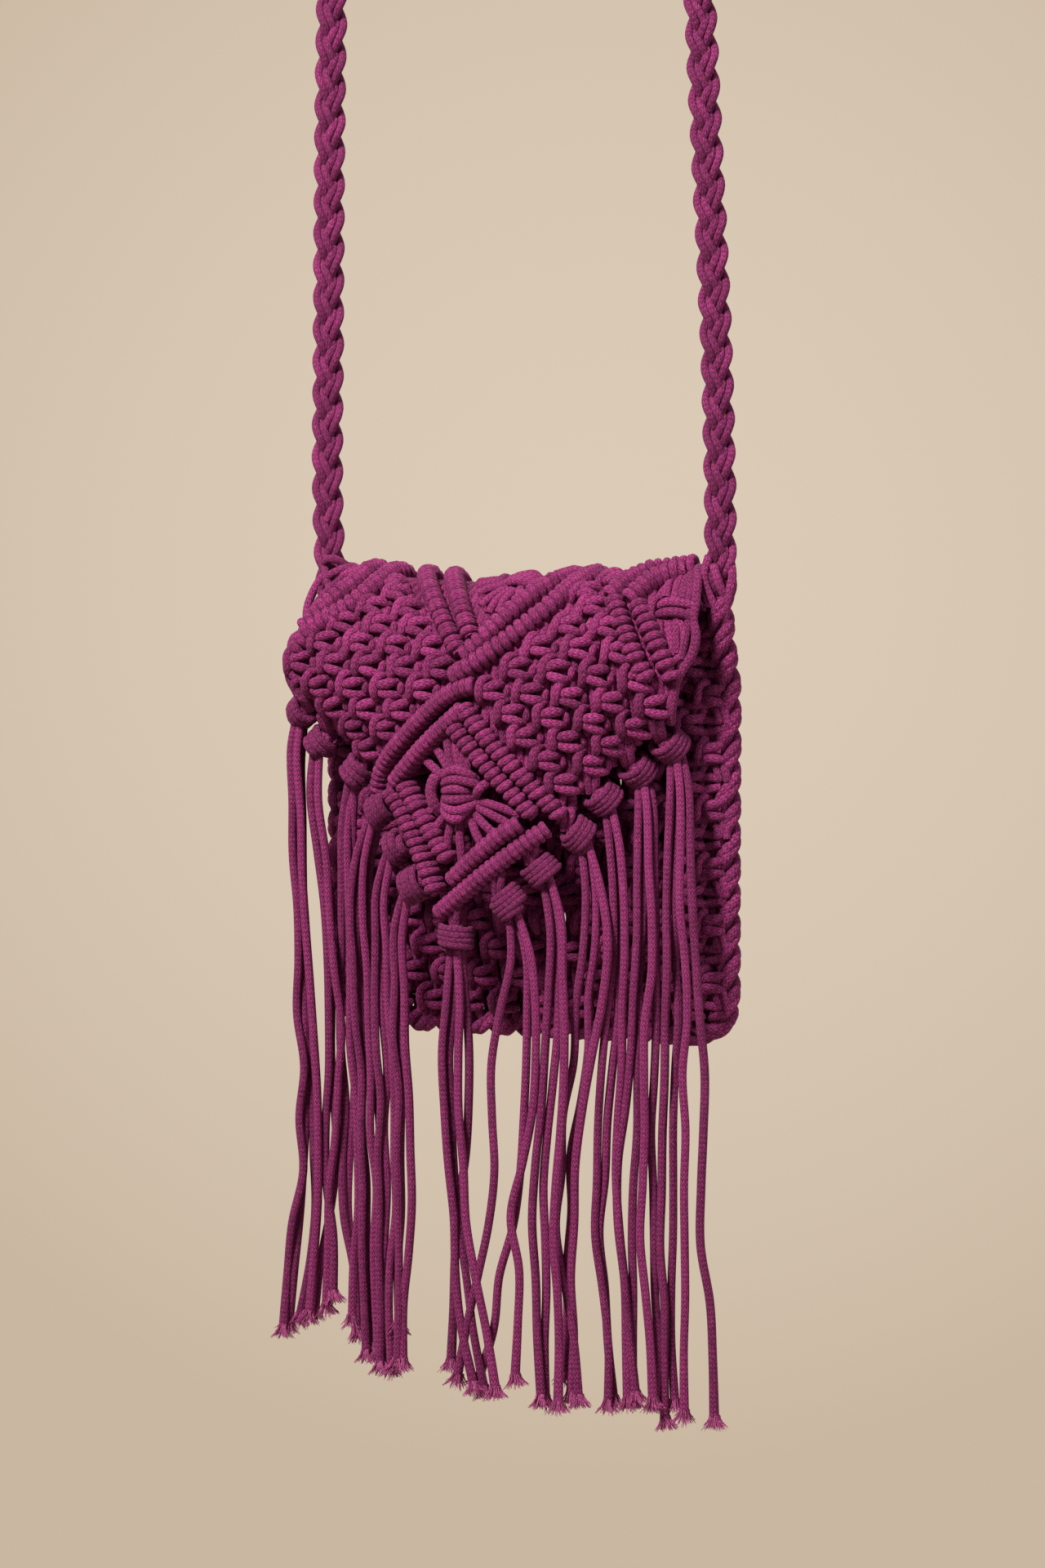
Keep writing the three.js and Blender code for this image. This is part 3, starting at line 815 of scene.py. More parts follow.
class Knotting:
    """Draws knots on a surface, each a little different, as by hand."""

    # The two cords that cross over the front of a knot, and the loop that closes it on the left
    UPPER_LIP: Stroke = (
        (-4.2, -0.3, 0.6, 1.7), (-2.2, -1.5, 3.2, 2.3), (1.0, -2.5, 4.1, 2.6), (4.0, -3.2, 3.0, 2.3),
        (6.0, -3.5, 0.2, 1.6),
    )
    LOWER_LIP: Stroke = (
        (-4.2, 0.9, 0.6, 1.7), (-2.2, 1.8, 3.1, 2.2), (1.2, 2.4, 3.9, 2.45), (4.4, 2.9, 2.9, 2.2),
        (6.6, 3.2, 0.0, 1.6),
    )
    SIDE_LOOP: Stroke = (
        (-1.2, -6.2, 0.2, 1.7), (-3.6, -5.4, 3.0, 2.2), (-5.3, -2.4, 4.3, 2.3), (-5.4, 1.2, 4.2, 2.3),
        (-6.0, 3.9, 2.6, 2.1), (-7.0, 5.8, -0.4, 1.7),
    )
    # Short upright loop over the left end of a pair of bars
    END_LOOP: Stroke = (
        (-7, -6.5, 0.4, 1.7), (-8.4, -3.2, 3.2, 2.1), (-8.4, 2.6, 3.2, 2.1), (-7, 6.5, 0.4, 1.7),
    )
    BEAD: Stroke = ((7.0, -2.6, -0.6, 1.6), (7.5, 0.0, 1.2, 2.0), (7.3, 2.6, -0.6, 1.6))
    # The knot's cords on the inner face of the wall
    INNER_LIPS: tuple[Stroke, ...] = (
        ((-5.4, -2.6, -1.0, 1.5), (-2.0, -2.4, -3.0, 2.1), (2.0, -2.2, -3.0, 2.1), (5.4, -2.0, -1.0, 1.5)),
        ((-5.4, 2.0, -1.0, 1.5), (-2.0, 2.2, -3.0, 2.1), (2.0, 2.4, -3.0, 2.1), (5.4, 2.6, -1.0, 1.5)),
    )
    # The four cords that run from a loose knot to the two below it
    LINKS: tuple[Stroke, ...] = (
        ((-1.9, 1.0, -0.4, 2.0), (-2.4, 5.0, 0.0, 2.1), (-4.2, 9.0, 0.6, 2.1), (-5.2, 12.6, 0.0, 1.9)),
        ((-4.8, 1.5, -0.4, 2.0), (-6.0, 5.0, 0.0, 2.1), (-7.6, 9.0, -0.2, 2.1), (-8.0, 13.0, -0.6, 1.9)),
        ((1.9, 1.0, -0.4, 2.0), (2.4, 5.0, 0.0, 2.1), (4.2, 9.0, 0.6, 2.1), (5.2, 12.6, 0.0, 1.9)),
        ((4.8, 1.5, -0.4, 2.0), (6.0, 5.0, 0.0, 2.1), (7.6, 9.0, -0.2, 2.1), (8.0, 13.0, -0.6, 1.9)),
    )
    # The cords that run from the lowest knots into the bottom lacing
    STUBS: tuple[Stroke, ...] = (
        ((-4.6, 1.0, -0.2, 2.0), (-5.0, 5.0, 0.6, 2.2), (-5.4, 9.5, -1.0, 2.0)),
        ((-1.4, 1.0, -0.4, 2.0), (-1.0, 5.0, 0.8, 2.2), (-0.8, 9.5, -1.0, 2.0)),
        ((3.4, 1.0, -0.2, 2.0), (4.4, 5.0, 0.6, 2.2), (4.8, 9.5, -1.0, 2.0)),
    )

    def __init__(self, surface: PanelSurface | FlapSurface, cords: Cordage, seed: int) -> None:
        """Start on a surface.

        Args:
            surface: what the knots follow.
            cords: where their strands go.
            seed: start of the random draws.
        """
        self.surface = surface
        self.cords = cords
        self.draw = np.random.default_rng(seed)

    def stroke(self, centre: Point, stroke: Stroke, turn: float = 0.0, size: float = 1.0) -> None:
        """Lay one strand of a knot on the surface.

        Args:
            centre: middle of the knot, across and down.
            stroke: the strand.
            turn: angle of the knot in the surface, in radians.
            size: the knot's size.
        """
        a, b, out, radius = np.array(stroke).T
        wobble = self.draw.normal(0, 0.18, (3, len(a)))
        cos, sin = math.cos(turn), math.sin(turn)
        across = centre[0] + size * (a * cos - b * sin) + wobble[0]
        down = centre[1] + size * (a * sin + b * cos) + wobble[1]
        self.cords.add(self.surface.at(across, down, out + wobble[2]), radius)

    def tight(self, centre: Point) -> None:
        """Tie one close square knot.

        Args:
            centre: middle of the knot.
        """
        turn, size = self.draw.normal(0, 0.05), self.draw.uniform(0.96, 1.05)
        for part in (self.UPPER_LIP, self.LOWER_LIP, self.SIDE_LOOP, self.BEAD, *self.INNER_LIPS):
            self.stroke(centre, part, turn, size)

    def open(self, centre: Point, last: bool) -> None:
        """Tie one loose square knot and the cords that leave it downwards.

        Args:
            centre: middle of the knot.
            last: whether the cords below end in the bottom lacing.
        """
        turn, size = self.draw.normal(0, 0.05), self.draw.uniform(0.97, 1.06)
        for part in (self.UPPER_LIP, self.LOWER_LIP, self.SIDE_LOOP, *self.INNER_LIPS):
            self.stroke(centre, part, turn, size)
        for part in self.STUBS if last else self.LINKS:
            self.stroke(centre, part)


@dataclass(frozen=True)
class Piece:
    """A finished piece: its cords, the nodes it stands for and its record slot."""

    cords: Cordage
    nodes: tuple[str, ...]
    slot: str


@dataclass(frozen=True)
class Panels:
    """Front and back panels: rows of open square knots."""

    body: Body
    pitch: float = 19.4
    row: float = 13.5
    rows: int = 15
    # Knots to each side of the middle, one more than the widest row takes
    reach: int = 6
    mouth_side: float = 18.0
    mouth_dip: float = 18.0
    back_top: float = 33.0
    # Carrying cords to each side of the middle, four to a knot's pitch
    carriers: int = 21

    def mouth(self, x: float) -> float:
        """Distance down to the rim of the front panel."""
        return self.mouth_side + self.mouth_dip * (1 - (x / self.body.half_width) ** 2)

    def build(self) -> list[Piece]:
        """Knot both panels.

        Returns:
            The two pieces.
        """
        made = []
        for name, side in (("front_panel", -1), ("back_panel", 1)):
            cords = Cordage(name + "_knots", sides=7, spacing=2.4)
            knotting = Knotting(PanelSurface(self.body, side), cords, SEED + side)
            low = -self.body.bottom_z - 5
            for j in range(self.rows):
                down = low - j * self.row
                half = 0.0 if j % 2 else self.pitch / 2
                for k in range(-self.reach, self.reach):
                    x = half + k * self.pitch
                    top = self.mouth(x) if side < 0 else self.back_top
                    if abs(x) < self.body.half_width + 1 and down > top + 4:
                        knotting.open((x, down), j == 0)
            self._carriers(knotting, side, low)
            self._rim(knotting, side)
            made.append(Piece(cords, (name,), "knotted_panel"))
        return made

    def _carriers(self, knotting: Knotting, side: int, low: float) -> None:
        """Run the upright cords that the knots are tied round, and the bars that reach into the lacing.

        Args:
            knotting: the panel's knots.
            side: -1 for the front and 1 for the back.
            low: distance down to the lowest row.
        """
        for k in range(-self.carriers, self.carriers + 1):
            x = k * self.pitch / 4
            top = self.mouth(x) + 4 if side < 0 else self.back_top + 5
            down = np.arange(top, low + 3, 8.0)
            sway = 0.8 * np.sin(down / 6.5 + k * 1.9)
            knotting.cords.add(knotting.surface.at(x + sway, down, np.full_like(down, -2.2)), 2.2)
        # Two bars lie high and the next two low, so that the edge looks knotted through
        for end in (-1, 1):
            for at, down in enumerate(np.arange(34.0, low, self.row / 2)):
                x = end * (self.body.half_width + np.array([-12.0, -7.0, -1.0, 5.5]))
                lift = np.array([0.0, 2.2, 2.4, 0.6]) if at % 4 < 2 else np.array([-1.6, -0.6, -0.4, -0.6])
                rise = np.array([1.2, 0.2, -0.6, -2.0]) * (1 if at % 2 else -0.6)
                knotting.cords.add(knotting.surface.at(x, down + rise, lift), 2.3)

    def _rim(self, knotting: Knotting, side: int) -> None:
        """Close the upper edge of a panel with a row of loops over a carrying cord.

        Args:
            knotting: the panel's knots.
            side: -1 for the front and 1 for the back.
        """
        places = np.arange(-self.body.half_width + 4, self.body.half_width - 3, 4.7)
        tops = np.array([self.mouth(x) + 2.4 if side < 0 else self.back_top + 2 for x in places])
        knotting.cords.add(knotting.surface.at(places, tops, np.zeros_like(places)), 2.4)
        ring: Stroke = (
            (0, 3.2, 1.8, 1.9), (0.4, 0.4, 3.2, 2.1), (0.6, -2.4, 1.2, 2.1), (0.6, -2.4, -1.2, 2.1),
            (0.2, 0.4, -3.2, 2.1), (0, 3.2, -1.8, 1.9),
        )
        for x, top in zip(places, tops):
            knotting.stroke((x, top), ring)


@dataclass(frozen=True)
class Lacing:
    """Thick whipped lacing down both sides and along the bottom."""

    body: Body
    side_x: float = 103.7
    bend_radius: float = 16.0
    corner_radius: float = 9.4
    top_z: float = -17.0
    forward_y: float = -9.0
    settle_z: float = -65.0
    # Length of one turn of the twist, and how far its strands lie from the middle
    lay: float = 29.0
    coil: float = 4.0
    cord: float = 2.5
    core: float = 3.0
    # Half the angle between the two cords of a strand, in radians
    pair: float = 0.44

    def _side_line(self, side: int) -> np.ndarray:
        """Run the middle line of the lacing down one side and round its lower corner.

        Args:
            side: -1 for the left and 1 for the right.

        Returns:
            The line, evenly divided.
        """
        corner = self.body.bottom_z + self.corner_radius
        drop = self.settle_z - self.top_z
        leans = ((0, 1.0), (0.12, 1.0), (0.4, 0.8), (0.75, 0.2), (1.0, 0.0))
        points = [
            (side * self.side_x, self.forward_y * lean, self.top_z + drop * down)
            for down, lean in leans
        ]
        points += [(side * self.side_x, 0, z) for z in (-110, -155, corner)]
        inner = self.side_x - self.bend_radius
        for angle in np.radians([22.5, 45, 67.5, 90]):
            x = inner + self.bend_radius * math.cos(angle)
            points.append((side * x, 0, corner - self.bend_radius * math.sin(angle)))
        points.append((side * (inner - 3), 0, corner - self.bend_radius))
        return spline(points, 2.0)

    def _twist(self, line: np.ndarray, cords: Cordage, hand: int, start: float) -> None:
        """Lay two doubled strands round a middle line.

        Args:
            line: the middle line, evenly divided.
            cords: where the strands go.
            hand: 1 or -1, the way of the twist.
            start: angle of the first strand at the line's start.
        """
        way = unit(np.gradient(line, axis=0))
        depth = np.array([0.0, 1.0, 0.0])
        flank = unit(np.cross(way, depth))
        run = distances(line)
        cords.add(line[::3], self.core)
        for strand in (0, 1):
            for pair in (-self.pair, self.pair):
                angle = hand * (2 * math.pi * run / self.lay + math.pi * strand + pair) + start
                out = flank * np.cos(angle)[:, None] + depth * np.sin(angle)[:, None]
                cords.add(line + out * self.coil, self.cord)

    def build(self) -> list[Piece]:
        """Lace both sides and the bottom.

        Returns:
            The three pieces.
        """
        made = []
        for name, side in (("left", -1), ("right", 1)):
            cords = Cordage(f"side_seam_{name}_cords", spacing=2.0)
            line = self._side_line(side)
            self._twist(line, cords, -1, 0.0)
            made.append(Piece(cords, (f"side_seam_{name}",), "lacing_cord"))
        cords = Cordage("bottom_seam_cords", spacing=2.0)
        half = self.side_x - self.bend_radius - 3
        z = self.body.bottom_z + self.corner_radius - self.bend_radius
        self._twist(spline([(-half, 0, z), (0, 0, z), (half, 0, z)], 2.0), cords, 1, 0.6)
        made.append(Piece(cords, ("bottom_seam",), "lacing_cord"))
        return made


@dataclass(frozen=True)
class Strap:
    """Three-strand braid of doubled cords, one whole loop."""

    length: float = 1165.0
    depth_y: float = -9.0
    foot_z: float = -16.4
    arch_x: float = -6.5
    arch_radius: float = 92.5
    strands: int = 3
    # Each edge shows a bend every third of this length
    period: float = 46.5
    # How far a strand swings to the sides and dives in and out
    swing: float = 3.7
    dive: float = 2.5
    pair: float = 1.75
    cord: float = 2.0
    # The legs hang turned a little to the left, as the photo shows them
    turned: float = 26.0
    # Short cords that tie the braid's feet to the bag's upper corners
    ties: tuple[tuple[tuple[float, float, float], ...], ...] = (
        (
            (-101, -10, -2), (-107, -12, -8), (-111, -14, -15), (-113, -17, -25), (-109, -21, -36),
            (-100, -25, -45),
        ),
        ((-106, -8, -6), (-104, -15, -1), (-98, -18, 1), (-93, -14, -2), (-90, -8, -8)),
        ((-105, -12, -12), (-100, -19, -8), (-94, -20, -5), (-89, -13, -3)),
        ((-107, -6, 2), (-105, -13, -2), (-101, -19, -8), (-97, -21, -16)),
        ((102, -14, -2), (105, -15, -10), (107, -10, -20), (104, -6, -32)),
        ((107, -6, 2), (110, -10, -8), (108, -12, -20), (105, -8, -34)),
        ((99, -12, 2), (98, -15, -8), (102, -14, -20), (106, -8, -30)),
        ((96, -2, -26), (99, -3, -38), (101, -3, -50), (103, -3, -62)),
        ((98, 3, -24), (99, 4, -40), (100, 4, -56)),
    )
    # Share of the leg's height, and where the left and the right leg stand there
    legs: tuple[tuple[float, float, float], ...] = (
        (0, -103.8, 103.6), (0.12, -105.6, 103.1), (0.28, -105, 100.8), (0.5, -104, 95.5),
        (0.65, -102.7, 92), (0.85, -100, 87),
    )

    def _line(self) -> np.ndarray:
        """Run the middle line of the strap from its left foot over the top to its right foot.

        Returns:
            The line, evenly divided.
        """
        leg = (self.length - math.pi * self.arch_radius) / 2
        top = self.foot_z + leg
        points = [(left, self.depth_y, self.foot_z + share * leg) for share, left, _ in self.legs]
        for angle in np.linspace(math.pi, 0, 17):
            x = self.arch_x + self.arch_radius * math.cos(angle)
            points.append((x, self.depth_y, top + self.arch_radius * math.sin(angle)))
        points += [
            (right, self.depth_y, self.foot_z + share * leg)
            for share, _, right in reversed(self.legs)
        ]
        return spline(points, 2.2)

    def build(self) -> list[Piece]:
        """Braid the strap.

        Returns:
            The one piece.
        """
        cords = Cordage("strap_braid", spacing=2.1)
        line = self._line()
        way = unit(np.gradient(line, axis=0))
        depth = np.array([0.0, 1.0, 0.0])
        inward = unit(np.cross(depth, way))
        run = distances(line)
        leg = (self.length - math.pi * self.arch_radius) / 2
        twist = np.radians(self.turned) * np.clip((run[-1] / 2 - run) / (run[-1] / 2 - leg), -1, 1)
        flank = inward * np.cos(twist)[:, None] + depth * np.sin(twist)[:, None]
        outward = depth * np.cos(twist)[:, None] - inward * np.sin(twist)[:, None]
        # Both legs hang with the point of each V downwards, so the braid turns round at the top
        down = np.abs(run - run[-1] / 2)
        for strand in range(self.strands):
            phase = 2 * math.pi * (down / self.period + strand / self.strands)
            swing = self.swing * (np.sin(phase) - 0.1 * np.sin(3 * phase))
            dive = self.dive * np.sin(2 * phase)
            middle = line + flank * swing[:, None] + outward * dive[:, None]
            apart = unit(np.cross(outward, unit(np.gradient(middle, axis=0))))
            for side in (-1, 1):
                cords.add(middle + apart * side * self.pair, self.cord)
        for tie in self.ties:
            cords.add(np.array(tie, float), 2.1)
        return [Piece(cords, ("strap",), "strap_cord")]


class Slant(Enum):
    """Which way a rib's half-hitches bunch."""

    EVEN = "one after the other, each one standing out"
    FINE = "so close that the rib reads as a smooth rope"
    PAIRS = "in pairs, with a deeper groove after each pair"


@dataclass(frozen=True)
class HitchSize:
    """How the half-hitches of a rib are laid, in millimetres."""

    step: float
    cord: float
    reach: float
    # How far a hitch slants ahead for each millimetre to the side
    rise: float


HITCHES = {
    Slant.EVEN: HitchSize(step=4.2, cord=2.25, reach=3.2, rise=0.10),
    Slant.FINE: HitchSize(step=3.4, cord=2.0, reach=2.8, rise=0.10),
    Slant.PAIRS: HitchSize(step=4.0, cord=2.15, reach=3.0, rise=0.16),
}
# Steps after the first and the second hitch of a pair, as shares of the step
PAIR_STEPS = (0.86, 1.14)


@dataclass(frozen=True)
class RibPath:
    """One rib: the node it stands for, its course on the flap and its hitches."""

    node: str
    slant: Slant
    path: tuple[Point, ...]


@dataclass(frozen=True)
class KnotRows:
    """Alternating rows of close square knots, in millimetres across and down."""

    count: int
    first: Point
    step: Point
    # Every second row lies this much aside, so that its knots stand between those above
    shift: float
    pitch: float

    def places(self) -> list[Point]:
        """Place every knot, far enough out to both sides for the field's outline to choose.

        Returns:
            The middles of the knots.
        """
        made = []
        for row in range(self.count):
            start = self.first[0] + row * self.step[0] + (self.shift if row % 2 else 0.0)
            down = self.first[1] + row * self.step[1]
            made += [(start + k * self.pitch, down) for k in range(-5, 6)]
        return made


@dataclass(frozen=True)
class Flap:
    """Flap: fields of close square knots, ribs, berry knots, edges and the fold."""

    surface: FlapSurface
    hem: tuple[tuple[float, float, bool], ...]
    ribs: tuple[RibPath, ...] = (
        RibPath("rib_left_upper", Slant.EVEN, ((-95, 53), (-86, 40), (-78, 27), (-77, 10), (-77, -14))),
        RibPath(
            "rib_left_lower", Slant.EVEN, ((-98, 62), (-89, 51), (-74, 40), (-66, 26), (-65, 5), (-65, -14)),
        ),
        RibPath(
            "rib_cross_up_left_outer", Slant.PAIRS, ((-51, -14), (-48, 2), (-41, 15), (-22, 41), (-6, 61)),
        ),
        RibPath("rib_cross_up_left_inner", Slant.PAIRS, ((-37, -14), (-34, 0), (-28, 12), (-1, 54))),
        RibPath("rib_cross_up_right_inner", Slant.EVEN, ((-4, 62), (8, 49), (19, 32), (29, 12), (32, -14))),
        RibPath(
            "rib_cross_up_right_outer", Slant.EVEN,
            ((-9, 71), (6, 62), (21, 50), (35, 33), (42, 12), (43.5, -14)),
        ),
        RibPath(
            "rib_cross_down_left_outer", Slant.FINE, ((3, 74), (-10, 78), (-27, 91), (-49, 112), (-55, 127)),
        ),
        RibPath("rib_cross_down_left_inner", Slant.FINE, ((-3, 85), (-20, 99), (-32, 110), (-43, 121))),
        RibPath("rib_cross_down_right_inner", Slant.PAIRS, ((-8, 94), (31, 135))),
        RibPath("rib_cross_down_right_outer", Slant.PAIRS, ((-4, 84), (12, 102), (42, 134))),
        RibPath("rib_diamond_left_outer", Slant.PAIRS, ((-47, 126), (-34, 141), (-17, 174))),
        RibPath("rib_diamond_left_inner", Slant.PAIRS, ((-37, 122), (-10, 158))),
        RibPath("rib_diamond_right_inner", Slant.FINE, ((24, 138), (13, 146), (-11, 168))),
        RibPath("rib_diamond_right_outer", Slant.FINE, ((36, 139.5), (7, 163), (-16, 182))),
        RibPath("rib_right_upper", Slant.EVEN, ((62, 30), (72, 10), (83, 1), (95, -1))),
        RibPath("rib_right_lower", Slant.EVEN, ((72, 32), (78, 21), (84, 15), (94, 11))),
        RibPath("rib_right_fall_inner", Slant.PAIRS, ((65, 32), (79, 57), (87, 68))),
        RibPath("rib_right_fall_outer", Slant.PAIRS, ((77, 34), (91, 56), (96, 64))),
    )
    # Outlines of the two fields of close knots, and their rows
    left_field: tuple[Point, ...] = (
        (-60, -8), (-60, 8), (-60, 25), (-66, 41), (-84, 54), (-97, 64), (-101, 76), (-95, 83), (-84, 93),
        (-68, 105), (-59, 113), (-44, 98), (-26, 82), (-10, 72), (-18, 60), (-33, 40), (-46, 18), (-53, 4),
        (-55, -8),
    )
    right_field: tuple[Point, ...] = (
        (48, -8), (48, 8), (46, 22), (40, 34), (28, 48), (12, 62), (6, 70), (8, 88), (16, 98), (28, 111),
        (42, 127), (48, 124), (60, 108), (74, 96), (90, 85), (97, 76), (92, 72), (78, 64), (66, 46), (58, 34),
        (61, 18), (66, 4), (68, -8),
    )
    left_rows: KnotRows = KnotRows(count=11, first=(-49.0, 9.5), step=(-1.25, 9.6), shift=-8.0, pitch=19.9)
    right_rows: KnotRows = KnotRows(count=12, first=(52.0, 4.5), step=(-1.6, 10.3), shift=8.0, pitch=18.7)

    def hem_at(self, s: float) -> float:
        """Distance from the fold down to the hem."""
        return float(np.interp(s, [row[0] for row in self.hem], [row[1] for row in self.hem]))

    def build(self) -> list[Piece]:
        """Knot the flap.

        Returns:
            The panel, the ribs and the berry knots.
        """
        cords = Cordage("flap_panel_knots", sides=9, spacing=1.5)
        knotting = Knotting(self.surface, cords, SEED)
        self._fields(knotting)
        self._backing(knotting)
        self._rear(knotting)
        self._edges(knotting)
        made = [Piece(cords, ("flap_panel",), "knotted_panel")]
        made += [self._rib(rib) for rib in self.ribs]
        made += [self._upper_berry(), self._lower_berry()]
        return made

    def _fields(self, knotting: Knotting) -> None:
        """Fill the two fields with close square knots.

        Args:
            knotting: the flap's knots.
        """
        for outline, rows in ((self.left_field, self.left_rows), (self.right_field, self.right_rows)):
            for place in rows.places():
                if inside(outline, *place):
                    knotting.tight(place)

    def _backing(self, knotting: Knotting) -> None:
        """Run the carrying cords down behind the knots.

        Args:
            knotting: the flap's knots.
        """
        # Over the diamond the cords end at the arms of the cross
        arms = ((-57, 118), (-35, 96), (-3, 76), (12, 100), (40, 131))
        rows = (-30, 0, 17, 40, 66, 88)
        for s in np.arange(-99, 98, 4.4):
            low = self.hem_at(s) - 3
            if -55 < s < 38:
                low = min(low, float(np.interp(s, [a for a, _ in arms], [t for _, t in arms])))
            t = np.append(np.arange(-26, low - 3, 6.5), low)
            # The cords keep inside the flap's side edges
            left = np.interp(t, rows, (-91, -90, -89, -90.5, -98, -99))
            right = np.interp(t, rows, (98, 95, 96, 98, 95, 93))
            place = np.clip(s + 0.7 * np.sin(t / 4.2 + s), left, right)
            knotting.cords.add(self.surface.at(place, t, np.full_like(t, -1.2)), 2.35)

    def _rear(self, knotting: Knotting) -> None:
        """Knot the part behind the fold, down to the back panel.

        Args:
            knotting: the flap's knots.
        """
        for row, t in enumerate((-13, -23)):
            for k in range(-5, 6):
                s = k * 19.2 + (9.6 if row else 0)
                if abs(s) < 92:
                    knotting.tight((s, t))

    def _edges(self, knotting: Knotting) -> None:
        """Draw the side edges of the flap, the knot and the loops of the right half diamond.

        Args:
            knotting: the flap's knots.
        """
        surface = self.surface
        left = ((-89, -14), (-89, 6), (-88, 18), (-92, 34), (-97, 52), (-101, 62), (-103, 74), (-98, 86))
        right = (
            (95, -14), (98, 4), (101, 17), (103, 31), (103, 40), (105, 47), (103, 55), (98, 62), (96, 72),
            (93, 84),
        )
        for edge, lift in ((left, 0.6), (right, 1.2)):
            line = spline(edge, 7.0)
            knotting.cords.add(surface.at(line[:, 0], line[:, 1], np.full(len(line), lift)), 2.3)
        # Curls round the left edge, where the knots' outer cords turn back
        for t in (60, 69.5, 79):
            curl: Stroke = (
                (4.0, -4.6, 0.8, 1.7), (0.2, -4.0, 2.6, 2.1), (-2.2, 0.0, 1.6, 2.2), (0.6, 3.8, 2.4, 2.1),
                (4.6, 4.4, 0.6, 1.7),
            )
            knotting.stroke((-100 + (2 if t > 75 else 0), t), curl)
        for s in (-86, -92):
            bar: Stroke = (
                (-5.5, -1.0, 0.8, 1.7), (-1.5, -1.8, 3.0, 2.2), (2.5, -1.2, 3.0, 2.2), (6.0, 0.6, 0.8, 1.7),
            )
            knotting.stroke((s + 3, 6 + (s + 92) * 0.7), bar)
            knotting.stroke((s + 2, 12 + (s + 92) * 0.7), bar)
        # Small square knot of the right half diamond
        bars: tuple[Stroke, ...] = (
            ((-8, -2.0, 0.6, 1.7), (-3, -2.6, 3.2, 2.3), (3, -2.4, 3.4, 2.3), (9, -2.2, 1.4, 2.0)),
            ((-8, 2.2, 0.6, 1.7), (-3, 1.9, 3.0, 2.3), (3, 2.2, 3.2, 2.3), (9, 3.0, 1.4, 2.0)),
        )
        for bar in bars:
            knotting.stroke((93.5, 36), bar)
        knotting.stroke((92, 36), Knotting.END_LOOP)
        for path in (
            ((87, 15), (88, 22), (89, 30)), ((92, 13), (92.5, 22), (93, 31)), ((97, 12), (97, 22), (97, 31)),
            ((88, 41), (89, 47), (91, 53)), ((92, 41), (94, 48), (95, 55)),
            ((97, 41), (100, 47), (99, 54), (95, 57)), ((97, 10), (99, 22), (100, 34)),
            ((100, 30), (101, 42), (99, 56)),
            ((95, 10), (96, 24), (97, 38)), ((95, 34), (96, 44), (97, 54)),
        ):
            line = np.array(path, float)
            lift = np.linspace(0.6, 1.4, len(line))
            knotting.cords.add(surface.at(line[:, 0], line[:, 1], lift), 2.1)
        # Short cords that leave the hem for the wrap knots
        for s, t, knot in self.hem:
            for side in (-1.8, 1.8) if knot else ():
                line = np.array([(s + side, t - 9), (s + side * 0.9, t - 4), (s + side * 0.5, t + 2)])
                knotting.cords.add(surface.at(line[:, 0], line[:, 1], np.array([1.4, 1.8, 0.2])), 2.2)

    def _rib(self, rib: RibPath) -> Piece:
        """Wind the half-hitches of one rib.

        Args:
            rib: the rib.

        Returns:
            Its piece.
        """
        cords = Cordage(rib.node + "_hitches", sides=9, spacing=1.25)
        line = spline(rib.path, 0.5)
        run = distances(line)
        draw = np.random.default_rng(SEED + len(rib.node) + len(rib.path))
        heights = np.full(len(line), 3.2)
        core = slice(0, None, 8)
        cords.add(self.surface.at(line[core, 0], line[core, 1], heights[core]), 3.0)
        hitch = HITCHES[rib.slant]
        places = []
        q = 1.5
        while q < run[-1] - 1:
            places.append(q)
            second = len(places) % 2 == 0
            q += hitch.step * PAIR_STEPS[second] if rib.slant is Slant.PAIRS else hitch.step
        for at, q in enumerate(places):
            here = point_at(line, run, q)
            way = unit(point_at(line, run, q + 1) - point_at(line, run, q - 1))
            flank = np.array([way[1], -way[0]])
            side = np.array([-1.0, -0.92, -0.46, 0.46, 0.92, 1.0]) * hitch.reach
            height = np.array([0.2, 3.5, 6.1, 6.1, 3.5, 0.2]) + draw.normal(0, 0.16)
            lean = hitch.rise * side + draw.normal(0, 0.12)
            place = here + side[:, None] * flank + lean[:, None] * way
            radius = np.array([0.85, 0.96, 1.0, 1.0, 0.96, 0.85]) * hitch.cord
            cords.add(self.surface.at(place[:, 0], place[:, 1], height), radius * (0.97 + 0.03 * (at % 2)))
        return Piece(cords, (rib.node,), "rib_cord")

    def _upper_berry(self) -> Piece:
        """Tie the many-cord square knot under the fold and its fans.

        Returns:
            Its piece.
        """
        cords = Cordage("berry_knot_upper_cords", sides=9, spacing=1.6)
        knotting = Knotting(self.surface, cords, SEED + 5)
        for down, bow in ((-5.5, 1.6), (-1.8, 0.8), (1.9, 0.0), (5.6, -0.8)):
            bar: Stroke = (
                (-9, down + bow, 1.0, 1.7), (-4, down - bow, 4.6, 2.2), (3, down - bow, 5.2, 2.3),
                (9.5, down + bow, 1.4, 1.8),
            )
            knotting.stroke((9, 12), bar, 0.1)
        loop: Stroke = ((-8, -8, 0.6, 1.9), (-10, -3, 4.0, 2.3), (-10, 3, 4.0, 2.3), (-8, 8, 0.6, 1.9))
        knotting.stroke((9, 12), loop)
        for path in (
            ((-18, 4), (-8, 6), (0, 9)), ((-14, 14), (-6, 13), (1, 13)), ((-10, 23), (-5, 20), (2, 17)),
            ((-4, 33), (0, 27), (5, 20)), ((2, 38), (4, 30), (8, 21)), ((7, 38), (8, 30), (10, 22)),
            ((16, 31), (14, 26), (12, 20)), ((24, 16), (20, 14), (16, 12)),
            ((-16, -12), (-8, -4), (2, 4)), ((0, -12), (4, -4), (6, 4)), ((12, -12), (11, -4), (11, 4)),
            ((24, -10), (20, -3), (15, 5)),
        ):
            line = np.array(path, float)
